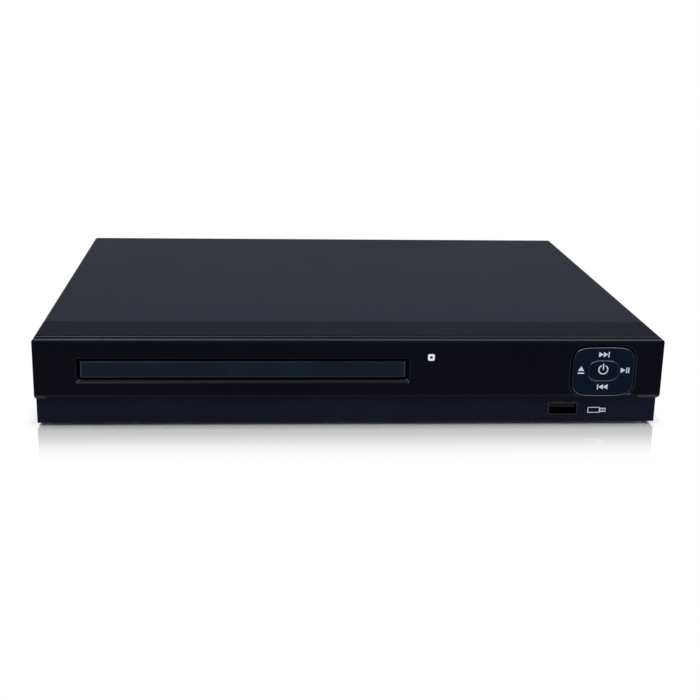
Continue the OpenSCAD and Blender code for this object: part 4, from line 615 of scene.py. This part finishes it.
def thickened(shape):
    """A shape that is flat to the front, as thick as a coat of ink."""
    choose(shape, faces=whole)
    bpy.ops.mesh.extrude_region_move(TRANSFORM_OT_translate={"value": (0, -INK, 0)})
    return shape


def printed(name, shapes, body):
    """Flat shapes made one printed mark, as thick as the ink."""
    return settle(thickened(joined(shapes)), name, printed_ink, body)


# ---- Marks on the pad and beside the sockets ----

PAD_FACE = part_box("rocker_pad")[0].y / MM
BUTTON_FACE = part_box("power_button")[0].y / MM
LINE_WIDTH = 0.5

# A skip mark: two arrows, point to tail, and a bar, all measured from the mark's middle
ARROW_BASE = 2.4
ARROW_LENGTH = 2.0
FIRST_ARROW = -1.5
STOP_BAR = 1.85
for name, x, z, way in (("next_mark", 109.2, 33.7, 1), ("previous_mark", 109.0, 19.1, -1)):
    arrows = [flat_triangle(x + way * (step * ARROW_LENGTH + FIRST_ARROW), PAD_FACE, z,
                            ARROW_BASE, ARROW_LENGTH, way * QUARTER) for step in (0, 1)]
    stop = flat_bar(x + way * STOP_BAR, PAD_FACE, z, LINE_WIDTH, ARROW_BASE)
    printed(name, arrows + [stop], "rocker_pad")

# The eject mark: a triangle over a ledge
EJECT_X = 99.3
EJECT_WIDTH = 2.8
lift = flat_triangle(EJECT_X, PAD_FACE, 27.35, EJECT_WIDTH, 2.1, 0)
ledge = flat_bar(EJECT_X, PAD_FACE, 25.3, EJECT_WIDTH, 0.55)
printed("eject_mark", [lift, ledge], "rocker_pad")

# The play and pause mark: an arrow before two bars
PLAY_Z = 26.6
PLAY_HEIGHT = 2.5
PAUSE_X = 119.35
PAUSE_STEP = 0.9
play = flat_triangle(117.75, PAD_FACE, PLAY_Z, PLAY_HEIGHT, 2.1, QUARTER)
pauses = [flat_bar(PAUSE_X + step * PAUSE_STEP, PAD_FACE, PLAY_Z, LINE_WIDTH, PLAY_HEIGHT)
          for step in (0, 1)]
printed("play_pause_mark", [play] + pauses, "rocker_pad")


def open_ring(x, y, z, radius, width, gap):
    """A ring, flat to the front, with its gap at the top, `gap` radians wide."""
    deselect()
    bpy.ops.mesh.primitive_circle_add(vertices=72, radius=radius * MM, fill_type="NOTHING",
                                      location=(x * MM, y * MM, z * MM))
    ring = bpy.context.object
    choose(ring, edges=whole)
    bpy.ops.mesh.extrude_edges_move()
    inner = (radius - width) / radius
    bpy.ops.transform.resize(value=(inner, inner, inner))

    def in_gap(face):
        middle = face.calc_center_median()
        return abs(math.atan2(middle.x, middle.y)) < gap / 2

    choose(ring, faces=in_gap)
    bpy.ops.mesh.delete(type="FACE")
    bpy.ops.object.mode_set(mode="OBJECT")
    ring.rotation_euler = (QUARTER, 0, 0)
    bpy.ops.object.transform_apply(location=False, rotation=True, scale=False)
    return ring


# The power mark: a stroke in the gap of a ring
POWER_X = 108.95
POWER_Z = 27.0
STROKE_RISE = 1.3
ring = open_ring(POWER_X, BUTTON_FACE, POWER_Z, radius=2.2, width=LINE_WIDTH, gap=0.95)
stroke = flat_bar(POWER_X, BUTTON_FACE, POWER_Z + STROKE_RISE, LINE_WIDTH, 2.8)
printed("power_mark", [ring, stroke], "power_button")

# The memory socket's mark: a generic stick, its body and its plug, drawn in outline
STRIP_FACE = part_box("front_bezel")[0].y / MM
STICK_X = 107.0
PLUG_X = 111.0
STICK_Z = 7.6
OUTLINE = 0.3


def framed(bar):
    """A flat bar made an outline."""
    choose(bar, faces=whole)
    bpy.ops.mesh.inset(thickness=OUTLINE * MM, depth=0)
    bpy.ops.mesh.delete(type="FACE")
    bpy.ops.object.mode_set(mode="OBJECT")
    return bar


stick = framed(flat_bar(STICK_X, STRIP_FACE, STICK_Z, 5.4, 2.6))
plug = framed(flat_bar(PLUG_X, STRIP_FACE, STICK_Z, 2.6, 1.8))
contacts = [flat_bar(PLUG_X, STRIP_FACE, STICK_Z + side * 0.35, 0.9, 0.25) for side in (-1, 1)]
printed("memory_mark", [stick, plug] + contacts, "case")

# A small dark dot on the milky face of the sensor's window
DOT_R = 0.6
ir_low, ir_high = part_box("ir_window")
ir_middle = (ir_low + ir_high) / 2
deselect()
bpy.ops.mesh.primitive_circle_add(vertices=32, radius=DOT_R * MM, fill_type="NGON",
                                  location=(ir_middle.x, ir_low.y, ir_middle.z),
                                  rotation=(QUARTER, 0, 0))
settle(thickened(bpy.context.object), "sensor_dot", gloss_black, "case")


# ---- Contacts and insulators in the sockets ----

def block(x, y, z, width, length, thickness):
    """A thin box centred on the place, its length along Y and its edges rounded."""
    deselect()
    bpy.ops.mesh.primitive_cube_add(size=MM, location=(x * MM, y * MM, z * MM))
    box = bpy.context.object
    box.scale = (width, length, thickness)
    bpy.ops.object.transform_apply(location=False, rotation=False, scale=True)
    choose(box, edges=whole)
    bpy.ops.mesh.bevel(offset=thickness * 0.3 * MM, segments=2)
    bpy.ops.object.mode_set(mode="OBJECT")
    return box


def row_of_contacts(name, middle, count, pitch, size):
    """Contact springs side by side along X, as one piece, with the row's middle at that place."""
    x, y, z = middle
    first = block(x - (count - 1) / 2 * pitch, y, z, *size)
    others = [copied(first, (step * pitch, 0, 0)) for step in range(1, count)]
    return settle(joined([first] + others), name, contact_gold, "case")


# Each kind of contact: its width, length and thickness
MEMORY_CONTACT = (1.1, 8.0, 0.16)
PICTURE_CONTACT = (0.4, 4.4, 0.12)
WIDE_CONTACT = (1.2, 5.0, 0.35)
# How far behind its socket's mouth a contact's middle lies
MEMORY_DEPTH = 6.2
PICTURE_DEPTH = 3.6
WIDE_DEPTH = 6.0

memory_low, memory_high = (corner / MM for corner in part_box("usb_shell"))
memory_middle = (memory_low + memory_high) / 2
MEMORY_RISE = 0.12
row_of_contacts("memory_contacts",
                (memory_middle.x, memory_low.y + MEMORY_DEPTH, memory_middle.z + MEMORY_RISE),
                4, 2.3, MEMORY_CONTACT)

picture_low, picture_high = (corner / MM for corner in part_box("hdmi_socket"))
picture_x = (picture_low.x + picture_high.x) / 2
PICTURE_HEIGHT = 5.6
PICTURE_ROWS = (("upper_picture_contacts", 3.76, 10), ("lower_picture_contacts", 2.24, 9))
for name, level, count in PICTURE_ROWS:
    row_of_contacts(name, (picture_x, picture_high.y - PICTURE_DEPTH,
                           picture_high.z - PICTURE_HEIGHT + level),
                    count, 1.0, PICTURE_CONTACT)

wide_low, wide_high = (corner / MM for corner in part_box("scart_socket"))
wide_x = (wide_low.x + wide_high.x) / 2
WIDE_SIDE = 6.2
WIDE_HEIGHT = 14.6
WIDE_COUNT = 10
wide_pitch = (wide_high.x - wide_low.x - 2 * WIDE_SIDE) / (WIDE_COUNT - 1)
for name, level in (("upper_wide_contacts", 9.0), ("lower_wide_contacts", 5.6)):
    row_of_contacts(name, (wide_x, wide_high.y - WIDE_DEPTH, wide_high.z - WIDE_HEIGHT + level),
                    WIDE_COUNT, wide_pitch, WIDE_CONTACT)


def washer(name, place, size, material):
    """A flat ring round the Y axis, its edges broken, from its place towards +Y.

    Its size is its outer radius, its inner radius and its depth."""
    outer, inner, depth = size
    deselect()
    bpy.ops.mesh.primitive_circle_add(vertices=48, radius=outer * MM, fill_type="NOTHING",
                                      location=[part * MM for part in place],
                                      rotation=(QUARTER, 0, 0))
    ring = bpy.context.object
    bpy.ops.object.transform_apply(location=False, rotation=True, scale=False)
    choose(ring, edges=whole)
    bpy.ops.mesh.extrude_edges_move()
    share = inner / outer
    bpy.ops.transform.resize(value=(share, share, share))
    choose(ring, faces=whole)
    bpy.ops.mesh.extrude_region_move(TRANSFORM_OT_translate={"value": (0, depth * MM, 0)})
    deselect()
    bevel = ring.modifiers.new("broken_edge", "BEVEL")
    bevel.width = depth * 0.3 * MM
    bevel.segments = 2
    bevel.limit_method = "ANGLE"
    bpy.context.view_layer.objects.active = ring
    ring.select_set(True)
    bpy.ops.object.modifier_apply(modifier=bevel.name)
    return settle(ring, name, material, "case")


# Coloured nylon rings tell the jacks apart; the insulator round each centre hole is white nylon
RING_COLOURS = (("white", "c9c8c2", "d6d5cf"), ("red", "8f1c1c", "a32323"),
                ("yellow", "c2a11d", "d3b22a"), ("black", "151517", "1f1f22"))
# Outer radius, inner radius and depth
RING = (5.5, 4.0, 0.26)
INSULATOR = (2.85, 1.75, 0.12)
# How far behind the jacks' mouths they lie
RING_DEPTH = 7.28
INSULATOR_DEPTH = 0.6
JACK_R = 4.15
jack_low, jack_high = (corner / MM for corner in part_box("rca_jacks"))


def jack_place(index, behind):
    """That far behind a jack's mouth, in its middle: left then right, the upper row first."""
    x = (jack_low.x + JACK_R, jack_high.x - JACK_R)[index % 2]
    z = (jack_high.z - JACK_R, jack_low.z + JACK_R)[index // 2]
    return x, jack_high.y - behind, z


for index, (colour_name, dark, light) in enumerate(RING_COLOURS):
    nylon = surface(colour_name + "_nylon", (dark, light), roughness=0.38, patch=3, spread=0.04,
                    grain=0.4, height=0.006, edge=0.1)
    washer("jack_ring_" + colour_name, jack_place(index, RING_DEPTH), RING, nylon)
white_nylon = bpy.data.materials["white_nylon"]
for index in range(len(RING_COLOURS)):
    washer("jack_insulator_%d" % (index + 1), jack_place(index, INSULATOR_DEPTH), INSULATOR,
           white_nylon)


# ---- Small parts soldered on the main board ----

# Rows of parts: the first one's place, the step along X and Y, how many, and whether each
# lies along X
ROWS = ((57.0, 39.6, 2.5, 0, 9, False),
        (57.0, 12.4, 2.5, 0, 9, False),
        (54.4, 20.5, 0, 2.5, 5, True),
        (80.4, 16.0, 0, 2.5, 9, True),
        (103.6, 15.0, 0, 3.0, 7, True),
        (56.0, 64.6, 2.5, 0, 5, False),
        (92.5, 64.6, 2.5, 0, 4, False),
        (54.0, 80.0, 3.0, 0, 15, False),
        (104.0, 84.0, 3.0, 0, 8, False),
        (34.0, 87.5, 2.0, 0, 7, False),
        (80.0, -6.5, 3.0, 0, 11, False))
BOARD_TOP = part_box("main_board")[1].z / MM
PART_L = 1.6
PART_W = 0.8
PART_H = 0.45
SOLDER = 0.02
# An end cap is this long, and stands out from its part by a wetted film of solder
CAP_L = 0.3
CAP_W = PART_W + 0.06
CAP_H = PART_H + 0.04


def soldered(name, kinds, material):
    """Small boxes with broken edges, for each size one at each of its places, as one piece."""
    pieces = []
    for size, places in kinds:
        template = block(0, 0, 0, *size)
        pieces += [copied(template, place) for place in places]
        bpy.data.objects.remove(template)
    return settle(joined(pieces), name, material, "case")


def places_of(turned, third=None):
    """Places of the parts that lie that way: all, every third one (True) or the rest (False)."""
    return [(x + step * dx, y + step * dy, BOARD_TOP + PART_H / 2 + SOLDER)
            for x, y, dx, dy, count, along in ROWS if along == turned
            for step in range(count) if third is None or (step % 3 == 0) == third]


def end_caps(turned):
    """Places of the solder caps at both ends of the parts that lie that way."""
    reach = (PART_L - CAP_L) / 2
    return [(x + side * reach * turned, y + side * reach * (not turned), z)
            for x, y, z in places_of(turned) for side in (-1, 1)]


along_x = (PART_L, PART_W, PART_H)
along_y = (PART_W, PART_L, PART_H)
soldered("board_ceramic_chips",
         [(along_x, places_of(True, False)), (along_y, places_of(False, False))],
         chip_ceramic)
soldered("board_resistor_chips",
         [(along_x, places_of(True, True)), (along_y, places_of(False, True))],
         chip_black)
soldered("board_chip_ends",
         [((CAP_L, CAP_W, CAP_H), end_caps(True)), ((CAP_W, CAP_L, CAP_H), end_caps(False))],
         tin_solder)


def crystal_can(name, x, y, width, length, height):
    """A clock crystal's can: round-ended, standing on the main board, its lid's edge broken."""
    deselect()
    bpy.ops.mesh.primitive_cube_add(size=MM,
                                    location=(x * MM, y * MM, (BOARD_TOP + height / 2) * MM))
    can = bpy.context.object
    can.scale = (width, length, height)
    bpy.ops.object.transform_apply(location=False, rotation=False, scale=True)
    choose(can, edges=lambda edge: abs(edge.verts[0].co.z - edge.verts[1].co.z) > MM)
    bpy.ops.mesh.bevel(offset=width * 0.47 * MM, segments=10)
    choose(can, faces=lambda face: face.normal.z > 0.9)
    bpy.ops.mesh.bevel(offset=0.3 * MM, segments=3)
    bpy.ops.object.mode_set(mode="OBJECT")
    return settle(can, name, nickel_shell, "case")


crystal_can("clock_crystal", x=85.0, y=27.0, width=4.4, length=10.8, height=3.4)


# ---- Floor, light and camera ----

FLOOR_SIZE = 6.0
MIRROR_SHARE = 0.45
MIRROR_FADE = 19 * MM
CONTACT_SHADE = 7 * MM


def floor_finish():
    """Polished white acrylic. Its mirror image of the player fades out within about 40 mm."""
    material = bpy.data.materials.new("polished_white_acrylic_floor")
    material.use_nodes = True
    tree = material.node_tree
    tree.nodes.clear()
    # How far a place on the floor lies outside the player's box
    place = add(tree, "TexCoord").outputs["Object"]
    middle = (Vector(cad_box[0]) + Vector(cad_box[1])) / 2
    half = (Vector(cad_box[1]) - Vector(cad_box[0])) / 2
    moved = add(tree, "VectorMath", {0: place, 1: middle}, operation="SUBTRACT").outputs[0]
    size = add(tree, "VectorMath", {0: moved}, operation="ABSOLUTE").outputs[0]
    beyond = add(tree, "VectorMath", {0: size, 1: half}, operation="SUBTRACT").outputs[0]
    outside = add(tree, "VectorMath", {0: beyond, 1: (0, 0, 0)}, operation="MAXIMUM").outputs[0]
    flat = add(tree, "VectorMath", {0: outside, 1: (1, 1, 0)}, operation="MULTIPLY").outputs[0]
    gap = add(tree, "VectorMath", {0: flat}, operation="LENGTH").outputs["Value"]
    # The mirror's share falls off from there as a bell curve does
    spans = add(tree, "Math", {0: gap, 1: MIRROR_FADE}, operation="DIVIDE").outputs[0]
    square = add(tree, "Math", {0: spans, 1: spans}, operation="MULTIPLY").outputs[0]
    minus = add(tree, "Math", {0: square, 1: -1.0}, operation="MULTIPLY").outputs[0]
    fade = add(tree, "Math", {0: math.e, 1: minus}, operation="POWER").outputs[0]
    share = add(tree, "Math", {0: fade, 1: MIRROR_SHARE}, operation="MULTIPLY").outputs[0]
    # What looks straight at the floor sees it white, but for the shade close round the player
    rays = add(tree, "LightPath")
    seen = add(tree, "Math", {0: rays.outputs["Is Camera Ray"], 1: rays.outputs["Is Glossy Ray"]},
               operation="MAXIMUM").outputs[0]
    open_sky = add(tree, "AmbientOcclusion", {"Distance": CONTACT_SHADE}, samples=12).outputs["AO"]
    bare = add(tree, "Math", {0: open_sky, 1: 3.0}, operation="POWER").outputs[0]
    lit = add(tree, "Math", {0: seen, 1: bare}, operation="MULTIPLY").outputs[0]
    matt = add(tree, "BsdfDiffuse", {"Color": linear("f2f2f2")})
    white = add(tree, "Emission", {"Color": (1, 1, 1, 1), "Strength": 1.0})
    sheet = add(tree, "MixShader", {0: lit, 1: matt.outputs[0], 2: white.outputs[0]})
    mirror = add(tree, "BsdfGlossy", {"Color": (1, 1, 1, 1), "Roughness": 0.0})
    polished_sheet = add(tree, "MixShader", {0: share, 1: sheet.outputs[0], 2: mirror.outputs[0]})
    add(tree, "OutputMaterial", {"Surface": polished_sheet.outputs[0]})
    return material


deselect()
bpy.ops.mesh.primitive_plane_add(size=FLOOR_SIZE, location=(0, 0, 0))
floor = bpy.context.object
floor.name = floor.data.name = "studio_floor"
floor.data.materials.append(floor_finish())

# The world's strengths: to the eye, to matt surfaces, and overhead to what mirrors it
WHITE = 1.0
AMBIENT = 0.45
OVERHEAD = 0.12
# How high the backdrop reaches, as the upward part of a direction: white below, dim above
BACKDROP_ENDS = 0.04
OVERHEAD_STARTS = 0.2

world = bpy.data.worlds.new("white_studio")
world.use_nodes = True
bpy.context.scene.world = world
sky = world.node_tree
sky.nodes.clear()
rays = add(sky, "LightPath").outputs
height = add(sky, "SeparateXYZ", {"Vector": add(sky, "TexCoord").outputs["Generated"]}).outputs["Z"]
mirrored = add(sky, "MapRange", {"Value": height, "From Min": BACKDROP_ENDS,
                                 "From Max": OVERHEAD_STARTS, "To Min": WHITE,
                                 "To Max": OVERHEAD}).outputs[0]
lighting = add(sky, "Mix", {0: rays["Is Glossy Ray"], 2: AMBIENT, 3: mirrored},
               data_type="FLOAT").outputs[0]
# Rays off the floor's clear mirror image are the singular ones: past the player they meet white
straight = add(sky, "Math", {0: rays["Is Camera Ray"], 1: rays["Is Transmission Ray"]},
               operation="MAXIMUM").outputs[0]
straight = add(sky, "Math", {0: straight, 1: rays["Is Singular Ray"]},
               operation="MAXIMUM").outputs[0]
level = add(sky, "Mix", {0: straight, 2: lighting, 3: WHITE}, data_type="FLOAT").outputs[0]
background = add(sky, "Background", {"Color": (1, 1, 1, 1), "Strength": level})
add(sky, "OutputWorld", {"Surface": background.outputs[0]})


def softbox(name, place, aim, width, length, power, lights=True):
    """A rectangular area lamp at a place, turned towards a point, both in metres."""
    lamp = bpy.data.lights.new(name, "AREA")
    lamp.shape = "RECTANGLE"
    lamp.size = width
    lamp.size_y = length
    lamp.energy = power
    holder = bpy.data.objects.new(name, lamp)
    holder.location = place
    holder.rotation_euler = (Vector(aim) - Vector(place)).to_track_quat("-Z", "Y").to_euler()
    holder.visible_diffuse = lights
    bpy.context.scene.collection.objects.link(holder)


PLAYER = (0, 0, 0.02)
softbox("key_softbox", (-0.5, -0.7, 1.1), PLAYER, width=0.9, length=0.9, power=8)
softbox("fill_softbox", (0.8, -0.6, 0.8), PLAYER, width=0.8, length=0.8, power=3)
softbox("top_softbox", (0.1, 0.5, 1.2), PLAYER, width=1.0, length=1.0, power=5)
# A panel overhead that only reflections show draws a line along edges that face up and forwards
softbox("edge_panel", (0, -0.3, 1.0), (0, -0.2, 0.03), width=1.6, length=0.6, power=20,
        lights=False)

# The camera's place and turns, worked out from the case's straight edges in the photograph
CAMERA_AT = (-0.04168, -0.61370, 0.18348)
YAW = math.radians(3.601)
PITCH = math.radians(16.376)
ROLL = math.radians(1.045)
forward = Vector((math.sin(YAW) * math.cos(PITCH), math.cos(YAW) * math.cos(PITCH),
                  -math.sin(PITCH)))
across = Vector((math.cos(YAW), -math.sin(YAW), 0))
upward = across.cross(forward)
camera_x = across * math.cos(ROLL) + upward * math.sin(ROLL)
camera_y = upward * math.cos(ROLL) - across * math.sin(ROLL)
turns = Matrix((camera_x, camera_y, -forward)).transposed().to_4x4()

lens_data = bpy.data.cameras.new("camera")
lens_data.lens = 63.4
lens_data.sensor_width = 36
lens_data.shift_x = 0.03
lens_data.clip_start = 0.01
lens_data.clip_end = 20
camera = bpy.data.objects.new("camera", lens_data)
camera.matrix_world = Matrix.Translation(CAMERA_AT) @ turns
bpy.context.scene.collection.objects.link(camera)
bpy.context.scene.camera = camera
bpy.context.scene.view_settings.view_transform = "Standard"
